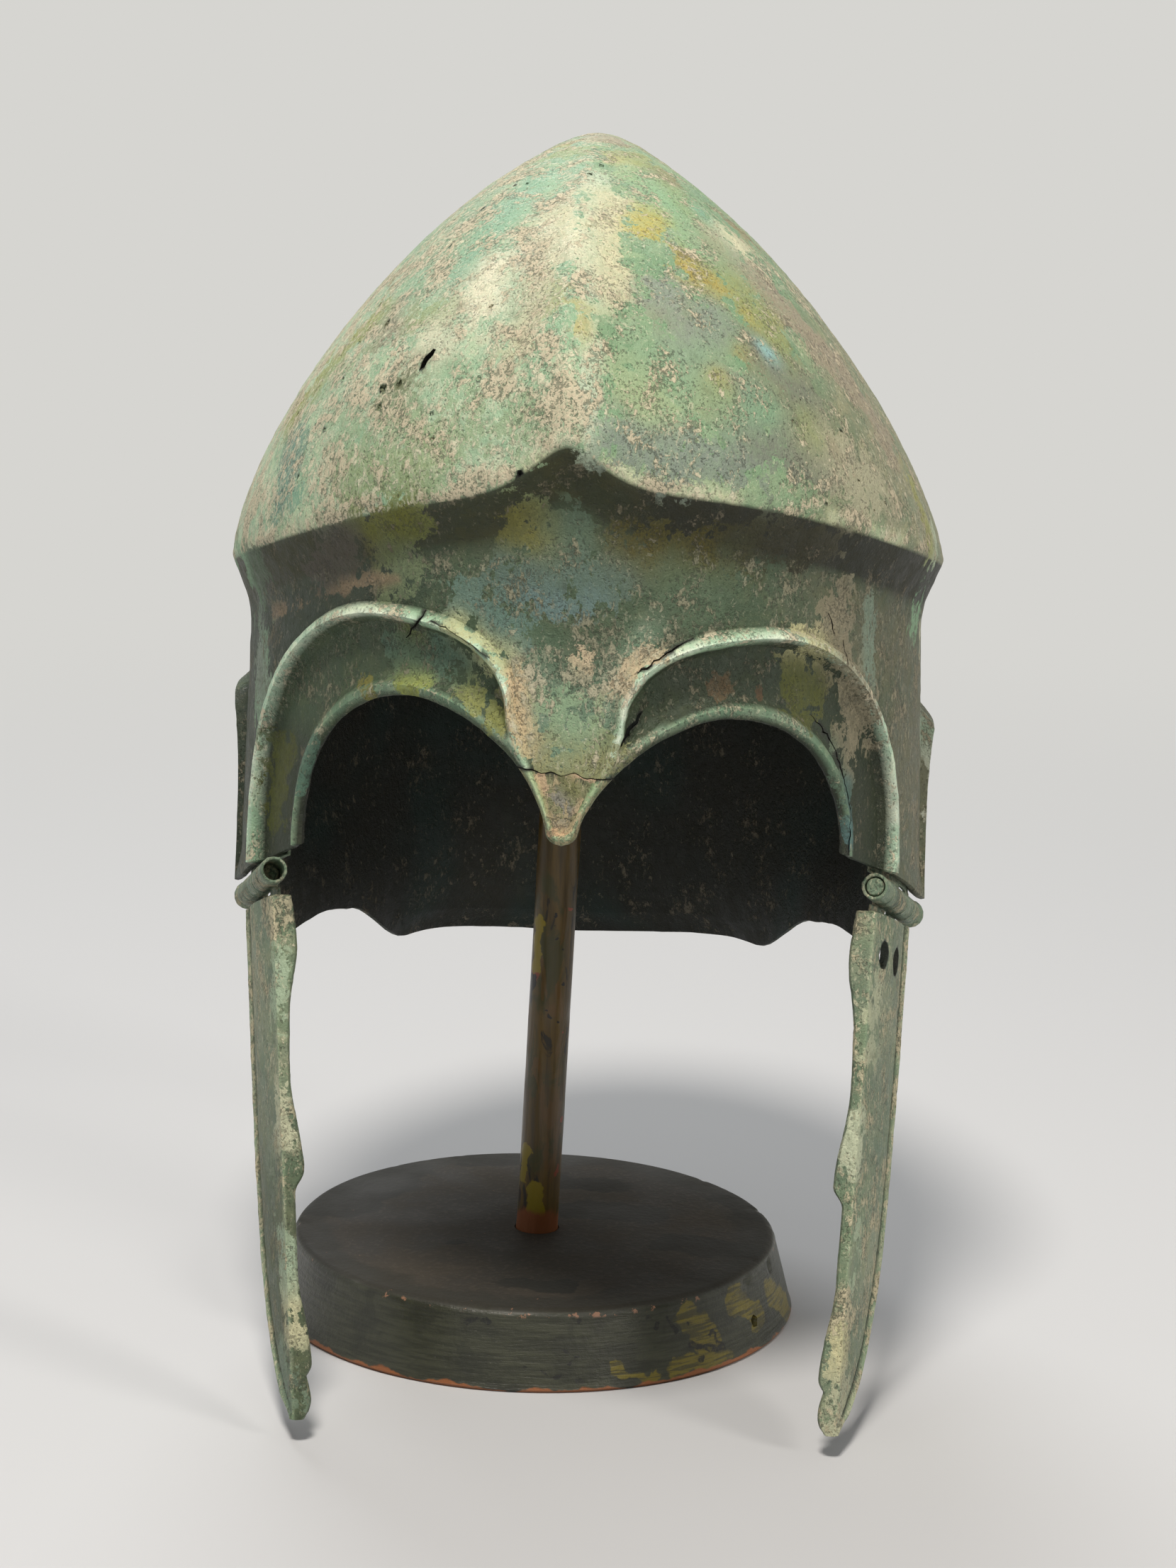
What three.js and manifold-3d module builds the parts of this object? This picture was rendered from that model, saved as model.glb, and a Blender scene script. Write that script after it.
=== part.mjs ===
// Chalcidian helmet with hinged cheekpieces, carried on a turned wooden stand.
// Millimetres, +Z up. The helmet faces -Y and the wearer's left is +X.
// The origin is the centre of the stand's underside.

import * as THREE from 'three';
import { mergeVertices } from 'three/addons/utils/BufferGeometryUtils.js';
import Module from 'manifold-3d';

const wasm = await Module();
wasm.setup();

// Fits and clearances
const touchGap = 0.3;
const knuckleGap = 0.4;

// Sheet bronze. The slant allowance keeps the wall's full thickness where it leans.
const wallThickness = 1.8;
const slantAllowance = 1.08;
const crownThickness = 2.4;
const leafThickness = 0.9;
const cheekThickness = 2.2;

// Heights on the helmet are measured up from the level of the neck guard's lower edge.
// Crown
const crownHeight = 248;
const crownSetback = 15;
const crownRoundSide = 1.42;
const crownRoundFront = 1.85;
const crownRoundFocus = 2.2;
const crownShift = -1.4;
const keelHeight = 2.3;
const keelAngle = 8.5;

// Brow ridge, the rim that runs round the foot of the crown
const rimHalfWidth = 97;
const rimFront = 111.5;
const rimBack = 119;
const rimBackHeight = 125.5;
const rimRise = 43.6;
const rimRisePower = 2.54;
const browPeakRise = 11.6;
const browPeakAngle = 7.2;
const browPeakRound = 1.6;
const browPeakAt = -2.9;
const rimSkew = 1.9;
const bevelDepth = 5.5;
const bevelDrop = 13;
const browBevelExtra = 2.5;
const creaseShare = 0.4;

// Wall below the ridge
const wallFlareSlope = 0.04;
const wallFlareTop = 121;
const noseLeanSlope = 0.105;
const noseLeanTop = 148;
const napeTaper = 13;
const napeTaperTop = 63;
const napeTaperDrop = 50;
const napeTaperAngle = 80;
const napeTaperSweepAngle = 40;
const napeHollow = 4;

// Eye arches: a raised outer roll, a sunk band and a bead along the opening
const archTop = 134.5;
const archCentreShare = 0.4536;
const archNoseX = 12.5;
const archNoseHeight = 112;
const archStrutShare = 0.876;
const archRiseRound = 2.25;
const archFallRound = 2.4;
const openingTop = 112;
const openingCentreShare = 0.402;
const openingStrutShare = 0.732;
const openingRiseRound = 1.7;
const openingFallRound = 2.1;
const nasalTipHeight = 79.5;
const nasalEndHalfWidth = 3.3;
const nasalEndRound = 2.8;
const nasalRimWidth = 3.7;
const nasalFieldHalfWidth = 1.6;
const nasalFieldRound = 1.5;
const nasalEdgeShare = 0.56;
const nasalRimShare = 0.5;
const nasalRimRatio = 1.9;
const nasalBlend = 7;
const rollHeight = 3.2;
const rollWidth = 4.8;
const bandDepth = 1.9;
const bandShoulder = 3;
const beadHeight = 1.3;
const beadWidth = 4.2;
const ridgeShare = 0.62;
const ridgeFootShare = 0.7;
const reliefBehindShare = 0.7;
const faceShift = -4;
const faceShiftFadeShare = 0.5;
const archSkew = 1.5;

// Crack across the nasal
const crackAboveTip = 18;
const crackJag = 1.6;
const crackNotchShares = [0.25, 0.125, 0.34];
const crackWidth = 0.35;
const crackHalfLength = 24;
const crackBlockDepth = 30;

// Ear opening with its turned-out rim, and the lower edge behind it
const earFront = -15;
const earTopY = 6;
const earTop = 91.5;
const earSkew = 2.5;
const earBack = 27;
const earRiseRound = 2.6;
const earFallRound = 2.8;
const earLobeHeight = 17;
const earLobeSwell = 2.5;
const earFlare = 4.6;
const earFlareWidth = 9;
const earFlareReach = 34;
const napeNotchAngle = 122;
const napeStepAngle = 141;
const napeSideHeight = 1.5;
const napeCentreHeight = -3;
const napeEdgeFlare = 5;
const napeFlareAngle = 20;

// Cheekpiece hinge
const hingeFrontY = -64;
const hingeFrontHeight = 59;
const hingeRearY = -21;
const hingeRearHeight = 40.7;
const hingeFrontInset = -0.8;
const hingeRearInset = 2.3;
const hingeSkew = 1;
const barrelRadius = 3.6;
const barrelWall = 0.8;
const pinRadius = 2.45;
const pinBallRadius = 3.9;
const pinBallNeck = 3.4;
const pinChamfer = 0.3;
const pinInsetLeft = 0.4;
const pinInsetRight = 7;
const edgeAboveBarrel = 1.5;
const leafHeight = 9;
const leafEndMargin = 5.5;
const leafFrontReach = 12;
const leafFrontEnd = 24;
const leafTabLap = 0.5;
const leafOverhang = 0.6;
const facetAllowance = 0.3;
const knuckleCount = 5;

// Cheekpiece
const cheekDrop = 139.5;
const cheekForward = 36;
const cheekTopDepth = 40;
const cheekTopGap = 1.6;
const cheekFrontGap = 1.4;
const cheekFrontDrop = 1.5;
const cheekBandAngle = 67;
const cheekBandTop = 2.8;
const cheekBandSwell = 1.6;
const cheekSwellDrop = 12.5;
const cheekSwellSpan = 16.7;
const cheekBandWaist = 0.8;
const cheekWaistDrop = 46.5;
const cheekCuspWidth = 2.7;
const cheekCuspRun = 23.7;
const cheekCuspStep = 6;
const cheekUpperCusp = 69.5;
const cheekLowerCusp = 118.5;
const cheekTipSwell = 2.2;
const cheekTipSwellDrop = 128;
const cheekTipSwellSpan = 12;
const cheekTipWidth = 4.4;
const cheekTipRound = 6;
const cheekTipLift = 0.8;
const pointShare = 0.35;
const arrisShares = [0.6, 0.7];
const cheekRearUpper = [0.2, 0.45];
const cheekRearLower = [0.28, 0.93];
const cheekBulge = 1.6;
const cheekBulgePower = 3;
const cheekRimHeight = 1.1;
const cheekRimFade = 12;
const cheekHoleRadius = 3.8;
const cheekHoleSpacing = 13;
const cheekHoleSetback = 11;
const cheekHoleDrop = 13;
const cheekLeanLeft = -1.3;
const cheekLeanRight = 0.4;

// Rivets
const rivetRadius = 1.5;
const rivetHeadRadius = 2.6;
const rivetHeadHeight = 1.1;
const rivetEndInset = 13;
const rivetBite = 1.2;
const rivetLevelShare = 0.4;

// Stand
const discTopRadius = 70;
const discBottomRadius = 75;
const discThickness = 22;
const discEdgeRadius = 3;
const rodRadius = 6.1;
const rodLength = 306.5;
const rodTenon = 14;
const rodLean = 1.85;
const headRadius = 18;
const headCollarRadius = 10;
const headDomeSteepness = 1.4;
const headHeight = 16;
const headSocket = 9;
const feltThickness = 1.5;
const crownSeatGap = 0.5;

// Where the helmet sits over the stand
const helmetY = -15;

const deg = Math.PI / 180;
const mix = (a, b, t) => a + (b - a) * t;
const clamp = (t) => Math.min(1, Math.max(0, t));
const smooth = (t) => clamp(t) ** 2 * (3 - 2 * clamp(t));
const hump = (t) => (Math.abs(t) < 1 ? Math.cos(t * Math.PI / 2) ** 2 : 0);
const vec = (x, y, z) => new THREE.Vector3(x, y, z);

// Closed bodies

function meshOf(name, geometry, material) {
  const mesh = new THREE.Mesh(geometry, material);
  mesh.name = name;
  return mesh;
}

function geometryOf(points, faces) {
  const geometry = new THREE.BufferGeometry();
  const numbers = points.flatMap((point) => [point.x, point.y, point.z]);
  geometry.setAttribute('position', new THREE.Float32BufferAttribute(numbers, 3));
  geometry.setIndex(faces.flatMap((face) => [face[0], face[1], face[2]]));
  return geometry;
}

function splitQuads(quads) {
  return quads.flatMap(([a, b, c, d]) => (d === undefined ? [[a, b, c]] : [[a, b, c], [a, c, d]]));
}

// Two matching skins and a strip round their free edges make one closed sheet.
function thickSheet(outer, inner, faces) {
  const triangles = splitQuads(faces);
  const edges = new Set();
  for (const [a, b, c] of triangles) {
    edges.add(`${a},${b}`).add(`${b},${c}`).add(`${c},${a}`);
  }
  const count = outer.length;
  const all = triangles.flatMap(([a, b, c]) => [[a, b, c], [a + count, c + count, b + count]]);
  for (const edge of edges) {
    const [a, b] = edge.split(',').map(Number);
    if (!edges.has(`${b},${a}`)) {
      all.push([b, a, a + count], [b, a + count, b + count]);
    }
  }
  return geometryOf([...outer, ...inner], all);
}

function gridFaces(rows, columns) {
  const faces = [];
  for (let i = 0; i < rows - 1; i += 1) {
    for (let j = 0; j < columns - 1; j += 1) {
      const corner = i * columns + j;
      faces.push([corner, corner + columns, corner + columns + 1, corner + 1]);
    }
  }
  return faces;
}

function solidOf(geometry) {
  const bare = geometry.clone();
  bare.deleteAttribute('normal');
  bare.deleteAttribute('uv');
  const merged = mergeVertices(bare, 0.0005);
  return new wasm.Manifold(new wasm.Mesh({
    numProp: 3,
    vertProperties: new Float32Array(merged.attributes.position.array),
    triVerts: new Uint32Array(merged.index.array),
  }));
}

function geometryFrom(solid) {
  const { vertProperties, triVerts } = solid.getMesh();
  const geometry = new THREE.BufferGeometry();
  geometry.setAttribute('position', new THREE.Float32BufferAttribute(vertProperties, 3));
  geometry.setIndex(Array.from(triVerts));
  return geometry;
}

// A solid of revolution whose axis runs from one point to another.
function turned(profile, from, to, segments = 16) {
  const points = profile.map(([radius, along]) => new THREE.Vector2(radius, along));
  const lathe = new THREE.LatheGeometry(points, segments);
  const axis = to.clone().sub(from).normalize();
  lathe.applyQuaternion(new THREE.Quaternion().setFromUnitVectors(vec(0, 1, 0), axis));
  return lathe.translate(from.x, from.y, from.z);
}

function rod(radius, from, to, segments) {
  const length = from.distanceTo(to);
  return turned([[0, 0], [radius, 0], [radius, length], [0, length]], from, to, segments);
}

// Wall of the helmet: a plan ellipse that changes with height

function wallRadii(angle, height) {
  const behind = smooth((Math.abs(angle) - napeTaperAngle) / napeTaperSweepAngle);
  const taper = napeTaper * smooth((napeTaperTop - height) / napeTaperDrop) * behind;
  const side = rimHalfWidth - bevelDepth + wallFlareSlope * Math.max(0, wallFlareTop - height) - taper;
  const front = rimFront - bevelDepth + noseLeanSlope * (noseLeanTop - height);
  const hollow = napeHollow * hump((height - napeTaperTop) / napeTaperTop);
  const back = rimBack - bevelDepth - hollow;
  return { side, depth: Math.abs(angle) < 90 ? front : back };
}

function outward(angle) {
  return vec(Math.sin(angle * deg), -Math.cos(angle * deg), 0).normalize();
}

function wallPoint(angle, height) {
  const { side, depth } = wallRadii(angle, height);
  return vec(side * Math.sin(angle * deg), -depth * Math.cos(angle * deg), height);
}

function angleAtX(x, height) {
  const { side } = wallRadii(0, height);
  return Math.asin(Math.max(-1, Math.min(1, x / side))) / deg;
}

function angleAtY(y, height) {
  const { depth } = wallRadii(y < 0 ? 0 : 180, height);
  return Math.acos(Math.max(-1, Math.min(1, -y / depth))) / deg;
}

// Brow ridge

function rimHeight(angle) {
  const peak = browPeakRise * Math.exp(-((Math.abs(angle - browPeakAt) / browPeakAngle) ** browPeakRound));
  const rise = rimRise * ((1 + Math.cos(angle * deg)) / 2) ** rimRisePower;
  return rimBackHeight + rise + peak + rimSkew * Math.sin(angle * deg);
}

function keel(angle) {
  return keelHeight * Math.exp(-Math.abs(angle - browPeakAt) / keelAngle);
}

function rimPoint(angle) {
  const depth = Math.abs(angle) < 90 ? rimFront : rimBack;
  const point = vec(rimHalfWidth * Math.sin(angle * deg), -depth * Math.cos(angle * deg), rimHeight(angle));
  return point.addScaledVector(outward(angle), keel(angle));
}

function browShare(angle) {
  return Math.exp(-(((angle - browPeakAt) / (2 * browPeakAngle)) ** 2));
}

function footHeight(angle) {
  return rimHeight(angle) - bevelDrop - browBevelExtra * browShare(angle);
}

function crownPoint(angle, share) {
  const rim = rimPoint(angle);
  const forward = Math.abs(Math.cos(angle * deg)) ** crownRoundFocus;
  const power = mix(crownRoundSide, crownRoundFront, forward);
  const turn = share * Math.PI / 2;
  const reach = Math.sin(turn) ** (2 / power);
  const lift = Math.cos(turn) ** (2 / power);
  const height = mix(rim.z, crownHeight, lift);
  const shift = crownShift * Math.sin(Math.PI * share);
  return vec(rim.x * reach + shift, mix(crownSetback, rim.y, reach), height);
}

// Mesh counts
const nasalSteps = 6;
const nasalRollPower = 2;
const nasalEdgePower = 1.1;
const archSteps = 6;
const strutSteps = 9;
const earSteps = 6;
const lowerSteps = 4;
const napeSteps = 7;
const crownRows = 9;
const crownRowPower = 0.9;
const wallRows = 5;
const wallRowPower = 1.5;
const frontColumnPower = 1.25;
const rearColumnPower = 1.1;
const bandShares = [0.12, 0.26, 0.5, 0.74, 0.88, 1];
const leafSteps = 5;
const cheekRows = 26;
const cheekRowPower = 1.3;
const cheekColumns = 6;
const barrelSides = 14;
const pinBallRows = 6;
const rivetSides = 12;
const holeSides = 16;
const discSides = 44;
const rodSides = 20;
const headSides = 18;
const domeSteps = 6;

// Edge lines on the wall, each a run of quarter superellipses
const archCentre = rimHalfWidth * archCentreShare;
const archStrutX = rimHalfWidth * archStrutShare;
const openingCentre = rimHalfWidth * openingCentreShare;
const openingStrutX = rimHalfWidth * openingStrutShare;

function quarterPoint(from, to, power, share, flatFirst) {
  const turn = share * Math.PI / 2;
  const slow = 1 - Math.cos(turn) ** (2 / power);
  const fast = Math.sin(turn) ** (2 / power);
  const [a, b] = flatFirst ? [fast, slow] : [slow, fast];
  return [mix(from[0], to[0], a), mix(from[1], to[1], b)];
}

function quarter(from, to, power, count, flatFirst) {
  return Array.from({ length: count + 1 }, (_, i) => quarterPoint(from, to, power, i / count, flatFirst));
}

// Rounds a blunt end: near its low point a line closes on the face's middle.
function closed([x, height], low, round) {
  const open = clamp((height - low) / round);
  return [x * Math.sqrt(1 - (1 - open) ** 2), height];
}

// Height of the bowl's edge over the cheekpiece hinge
function hingeLine(y) {
  const slope = (hingeRearHeight - hingeFrontHeight) / (hingeRearY - hingeFrontY);
  const clear = (barrelRadius + edgeAboveBarrel) * Math.hypot(1, slope);
  return hingeFrontHeight + slope * (y - hingeFrontY) + clear;
}

// The face stands a little to the wearer's right, most of all at the nose.
function faceX(x, side) {
  return side * x + faceShift * (1 - faceShiftFadeShare * smooth(x / archStrutX));
}

function strutFoot(x, side) {
  const angle = angleAtX(faceX(x, side), hingeFrontHeight);
  const y = wallPoint(angle, hingeFrontHeight).y;
  return [x, hingeLine(y)];
}

// Outer foot of the roll from the nasal's tip to the foot of the temple strut, as (x, height).
function rollLine(side) {
  const low = [nasalFieldHalfWidth, nasalTipHeight + nasalRimWidth];
  const start = [archNoseX, archNoseHeight];
  const nose = [];
  for (let i = 0; i < nasalSteps; i += 1) {
    const t = (i / nasalSteps) ** nasalRollPower;
    nose.push(closed([mix(low[0], start[0], t), mix(low[1], start[1], t)], low[1], nasalFieldRound));
  }
  const rise = quarter(start, [archCentre, archTop], archRiseRound, archSteps, false);
  const fall = quarter([archCentre, archTop], strutFoot(archStrutX, side), archFallRound, strutSteps, true);
  return [...nose, ...rise, ...fall.slice(1)];
}

// Edge of the eye opening, with as many points as the roll line.
function openingLine(side) {
  const tip = [nasalEndHalfWidth, nasalTipHeight];
  const top = [openingCentre, openingTop];
  const rise = [];
  for (let i = 0; i <= nasalSteps + archSteps; i += 1) {
    const nose = nasalEdgeShare * (i / nasalSteps) ** nasalEdgePower;
    const arch = mix(nasalEdgeShare, 1, (i - nasalSteps) / archSteps);
    const point = quarterPoint(tip, top, openingRiseRound, i < nasalSteps ? nose : arch, false);
    rise.push(closed(point, nasalTipHeight, nasalEndRound));
  }
  const fall = quarter(top, strutFoot(openingStrutX, side), openingFallRound, strutSteps, true);
  return [...rise, ...fall.slice(1)];
}

function facePoint([x, height], side) {
  const strutTop = hingeLine(hingeFrontY) + archNoseX;
  const lift = -side * archSkew * smooth(x / archNoseX) * smooth((height - strutTop) / archNoseX);
  const z = height + lift;
  return { angle: angleAtX(faceX(x, side), z), height: z };
}

// Lower edge behind the strut, as angle and height on the wearer's left side.
function lowerLine(side) {
  const foot = facePoint(strutFoot(archStrutX, side), side);
  const start = [wallPoint(foot.angle, foot.height).y, foot.height];
  const front = [earFront, hingeLine(earFront)];
  const run = [];
  for (let i = 1; i <= lowerSteps; i += 1) {
    run.push([mix(start[0], front[0], i / lowerSteps), mix(start[1], front[1], i / lowerSteps)]);
  }
  const crest = [earTopY, earTop - side * earSkew];
  const rise = quarter(front, crest, earRiseRound, earSteps, false);
  const fall = quarter(crest, [earBack, earLobeHeight], earFallRound, earSteps, true);
  const edge = [...run, ...rise.slice(1), ...fall.slice(1)];
  const points = edge.map(([y, height]) => ({ angle: angleAtY(y, height), height }));
  const lobe = points[points.length - 1].angle;
  for (let i = 1; i <= lowerSteps; i += 1) {
    const t = i / lowerSteps;
    const height = earLobeHeight + earLobeSwell * Math.sin(t * Math.PI);
    points.push({ angle: mix(lobe, napeNotchAngle, t), height });
  }
  for (let i = 1; i <= napeSteps; i += 1) {
    const angle = mix(napeNotchAngle, 180, i / napeSteps);
    const step = smooth((angle - napeNotchAngle) / (napeStepAngle - napeNotchAngle));
    const beside = mix(earLobeHeight, napeSideHeight, step);
    const inward = smooth((angle - napeStepAngle) / (180 - napeStepAngle));
    points.push({ angle, height: mix(beside, napeCentreHeight, inward) });
  }
  return points.map((point) => ({ angle: side * point.angle, height: point.height }));
}

// Relief of the arch across its width: roll, sunk band, bead
function archRelief(fromRoll, fromEdge) {
  const width = fromRoll + fromEdge;
  const full = smooth((width - nasalRimWidth) / nasalBlend);
  const roll = rollHeight * hump((fromRoll - rollWidth / 2) / (rollWidth * ridgeShare));
  const bead = beadHeight * hump((fromEdge - beadWidth / 2) / (beadWidth * ridgeShare));
  const pastRoll = smooth((fromRoll - rollWidth * ridgeFootShare) / bandShoulder);
  const pastBead = smooth((fromEdge - beadWidth * ridgeFootShare) / bandShoulder);
  const inside = pastRoll * pastBead;
  const rim = nasalRimShare * rollHeight * hump((fromRoll / width - 0.5) * nasalRimRatio);
  return mix(rim, roll + bead - bandDepth * inside, full);
}

// Outward turn of the ear rim and of the neck guard's edge
function edgeFlare(angle, fromEdge, column) {
  const pastStep = Math.abs(angle) - napeStepAngle + napeFlareAngle / 2;
  const nape = napeEdgeFlare * smooth(pastStep / napeFlareAngle);
  const size = Math.max(earFlare * column.ear, nape);
  return size * smooth(1 - fromEdge / earFlareWidth);
}

function sideColumns(side) {
  const roll = rollLine(side);
  const opening = openingLine(side);
  const lower = lowerLine(side);
  const last = roll.length - 1;
  const crest = facePoint(roll[last], side).angle;
  const columns = roll.map((point, i) => {
    const share = i / last;
    return {
      top: crest * share ** frontColumnPower,
      low: facePoint(point, side),
      edge: facePoint(opening[i], side),
      ear: 0,
    };
  });
  lower.forEach((low, i) => {
    const share = (i + 1) / lower.length;
    const ear = hump((wallPoint(low.angle, low.height).y - earTopY) / earFlareReach);
    columns.push({ top: mix(crest, side * 180, share ** rearColumnPower), low, edge: null, ear });
  });
  return columns;
}

function bowlSkins() {
  const right = sideColumns(1);
  const left = sideColumns(-1).slice(1, -1).reverse();
  const columns = [...right, ...left];
  const outer = [];
  const inner = [];
  const faces = [];
  const add = (point, normal, depth) => {
    outer.push(point);
    inner.push(point.clone().addScaledVector(normal, -depth));
    return outer.length - 1;
  };
  const apex = add(vec(0, crownSetback, crownHeight), vec(0, 0, 1), crownThickness);

  const rows = columns.map((column) => {
    const indices = [];
    const plan = outward(column.top);
    for (let i = 1; i <= crownRows; i += 1) {
      const share = (i / crownRows) ** crownRowPower;
      const point = crownPoint(column.top, share);
      const steep = (1 - share) * Math.PI / 2;
      const normal = plan.clone().multiplyScalar(Math.cos(steep)).setZ(Math.sin(steep));
      indices.push(add(point, normal, mix(crownThickness, wallThickness * slantAllowance, share)));
    }
    const foot = footHeight(column.top);
    const footRing = wallPoint(column.top, foot).addScaledVector(plan, keel(column.top) * creaseShare);
    indices.push(add(footRing, plan, wallThickness));
    const start = { angle: column.top, height: foot };
    const length = wallPoint(column.low.angle, column.low.height).distanceTo(footRing);
    for (let i = 1; i <= wallRows; i += 1) {
      const share = 1 - (1 - i / wallRows) ** wallRowPower;
      const angle = mix(start.angle, column.low.angle, share);
      const height = mix(start.height, column.low.height, share);
      const normal = outward(angle);
      const crease = keel(angle) * creaseShare * (column.edge ? 1 - share : 0);
      const flare = column.edge ? 0 : edgeFlare(angle, length * (1 - share), column);
      const point = wallPoint(angle, height).addScaledVector(normal, crease + flare);
      indices.push(add(point, normal, wallThickness * slantAllowance));
    }
    return indices;
  });

  const bands = columns.map((column, j) => {
    if (!column.edge) {
      return null;
    }
    const { low, edge } = column;
    const width = wallPoint(low.angle, low.height).distanceTo(wallPoint(edge.angle, edge.height));
    const indices = [rows[j][rows[j].length - 1]];
    for (const share of bandShares) {
      const angle = mix(low.angle, edge.angle, share);
      const height = mix(low.height, edge.height, share);
      const normal = outward(angle);
      const relief = archRelief(width * share, width * (1 - share));
      const base = wallPoint(angle, height);
      outer.push(base.clone().addScaledVector(normal, relief));
      inner.push(base.clone().addScaledVector(normal, relief * reliefBehindShare - wallThickness));
      indices.push(outer.length - 1);
    }
    return indices;
  });

  columns.forEach((column, j) => {
    const next = (j + 1) % columns.length;
    const a = rows[j];
    const b = rows[next];
    faces.push([apex, a[0], b[0]]);
    for (let i = 0; i < a.length - 1; i += 1) {
      faces.push([a[i], a[i + 1], b[i + 1], b[i]]);
    }
    if (bands[j] && bands[next]) {
      for (let i = 0; i < bandShares.length; i += 1) {
        faces.push([bands[j][i], bands[j][i + 1], bands[next][i + 1], bands[next][i]]);
      }
    }
  });
  return { outer, inner, faces };
}

// The nasal below its crack, as a block to cut with.
function nasalBlock(grow) {
  const shape = new THREE.Shape();
  const half = crackHalfLength;
  const centre = faceShift;
  const [rise, peak, dip] = crackNotchShares.map((share) => half * share);
  const top = nasalTipHeight + crackAboveTip + grow;
  const bottom = nasalTipHeight - nasalRimWidth;
  shape.moveTo(centre - half, bottom);
  shape.lineTo(centre + half, bottom);
  shape.lineTo(centre + half, top - crackJag);
  shape.lineTo(centre + rise, top - crackJag);
  shape.lineTo(centre - peak, top);
  shape.lineTo(centre - dip, top - crackJag / 2);
  shape.lineTo(centre - half, top + crackJag);
  shape.closePath();
  const block = new THREE.ExtrudeGeometry(shape, { depth: crackBlockDepth, bevelEnabled: false });
  return block.rotateX(Math.PI / 2).translate(0, crackBlockDepth / 2 - rimFront, 0);
}

function bowlParts() {
  const { outer, inner, faces } = bowlSkins();
  const whole = solidOf(thickSheet(outer, inner, faces));
  const tip = whole.intersect(solidOf(nasalBlock(0)));
  const bowl = whole.subtract(solidOf(nasalBlock(crackWidth)));
  return { bowl, tip };
}

// Cheekpiece hinge: its axis and the three directions that its pieces are placed by.
function hingeFrame(side) {
  const at = (y, height, inset) => {
    const point = wallPoint(angleAtY(y, height), height);
    return vec(side * (point.x - inset), point.y, height);
  };
  const front = at(hingeFrontY, hingeFrontHeight, hingeFrontInset + side * hingeSkew);
  const rear = at(hingeRearY, hingeRearHeight, hingeRearInset);
  const axis = rear.clone().sub(front).normalize();
  const back = vec(axis.x, axis.y, 0).normalize();
  const out = vec(back.y, -back.x, 0).multiplyScalar(side);
  const up = axis.clone().cross(out).multiplyScalar(side).normalize();
  if (up.z < 0) {
    up.negate();
  }
  const barrel = front.distanceTo(rear) - pinBallNeck;
  const place = (along, outwards, upwards) => front.clone().addScaledVector(axis, along)
    .addScaledVector(out, outwards).addScaledVector(up, upwards);
  return { side, front, rear, axis, back, out, up, barrel, place };
}

function knuckleSpan(hinge, index) {
  const pitch = (hinge.barrel + knuckleGap) / knuckleCount;
  return [index * pitch, (index + 1) * pitch - knuckleGap];
}

function orient(faces, side) {
  return side > 0 ? faces : faces.map((face) => [...face].reverse());
}

// How far the wall's face stands outside the hinge axis, at a height in the hinge's own up direction.
function wallOffset(hinge, along, upwards) {
  const point = hinge.place(along, 0, upwards);
  const angle = angleAtY(point.y, point.z);
  const wall = wallPoint(angle, point.z);
  return (wall.x - Math.abs(point.x)) / Math.abs(hinge.out.x);
}

// A leaf is a thin strip behind the wall, with a tab down to each knuckle that it carries.
function leafSheet(hinge, offset, levels, stations, thickness) {
  const outer = [];
  const inner = [];
  for (const along of stations) {
    for (const level of levels) {
      const face = offset(along, level);
      outer.push(hinge.place(along, face, level));
      inner.push(hinge.place(along, face - thickness, level));
    }
  }
  const upwards = levels[1] > levels[0];
  const flip = upwards ? -hinge.side : hinge.side;
  return thickSheet(outer, inner, orient(gridFaces(stations.length, levels.length), -flip));
}

function steps(from, to, count) {
  return Array.from({ length: count + 1 }, (_, i) => mix(from, to, i / count));
}

function knuckle(hinge, index) {
  const [from, to] = knuckleSpan(hinge, index);
  return rod(barrelRadius, hinge.place(from, 0, 0), hinge.place(to, 0, 0), barrelSides);
}

function hingeLeaf(hinge, first, offset, levels, tabLevels, ends) {
  const stations = steps(ends[0], ends[1], leafSteps);
  let solid = solidOf(leafSheet(hinge, offset, levels, stations, leafThickness));
  for (let index = first; index < knuckleCount; index += 2) {
    const [from, to] = knuckleSpan(hinge, index);
    const tab = leafSheet(hinge, offset, tabLevels, [Math.max(from, ends[0]), to], leafThickness);
    solid = solid.add(solidOf(tab)).add(solidOf(knuckle(hinge, index)));
  }
  const reach = barrelRadius;
  const mouth = hinge.place(-reach, 0, 0);
  const bore = rod(barrelRadius - barrelWall, mouth, hinge.place(hinge.barrel + reach, 0, 0), barrelSides);
  return solid.subtract(solidOf(bore));
}

function helmetLeaf(hinge) {
  const lowest = barrelRadius + edgeAboveBarrel - leafOverhang;
  const face = (along, level) => {
    const wall = Math.min(wallOffset(hinge, along, level), wallOffset(hinge, along, lowest));
    const sunk = bandDepth * smooth((leafFrontEnd - along) / leafFrontReach);
    return wall - wallThickness * slantAllowance - sunk - facetAllowance - touchGap;
  };
  const overTube = barrelRadius + touchGap;
  const onTube = (along) => Math.max(-barrelRadius / 2, Math.min(face(along, lowest), barrelWall));
  const offset = (along, level) => (level > overTube ? face(along, level) : onTube(along));
  const levels = [lowest, lowest + leafHeight / 2, lowest + leafHeight];
  const tabs = [pinRadius, overTube, lowest + leafTabLap];
  const ends = [leafEndMargin, hinge.barrel - leafEndMargin / 2];
  const solid = hingeLeaf(hinge, 0, offset, levels, tabs, ends);
  return { solid, seats: rivetSeats(hinge, offset, levels[1], touchGap + facetAllowance) };
}

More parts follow.
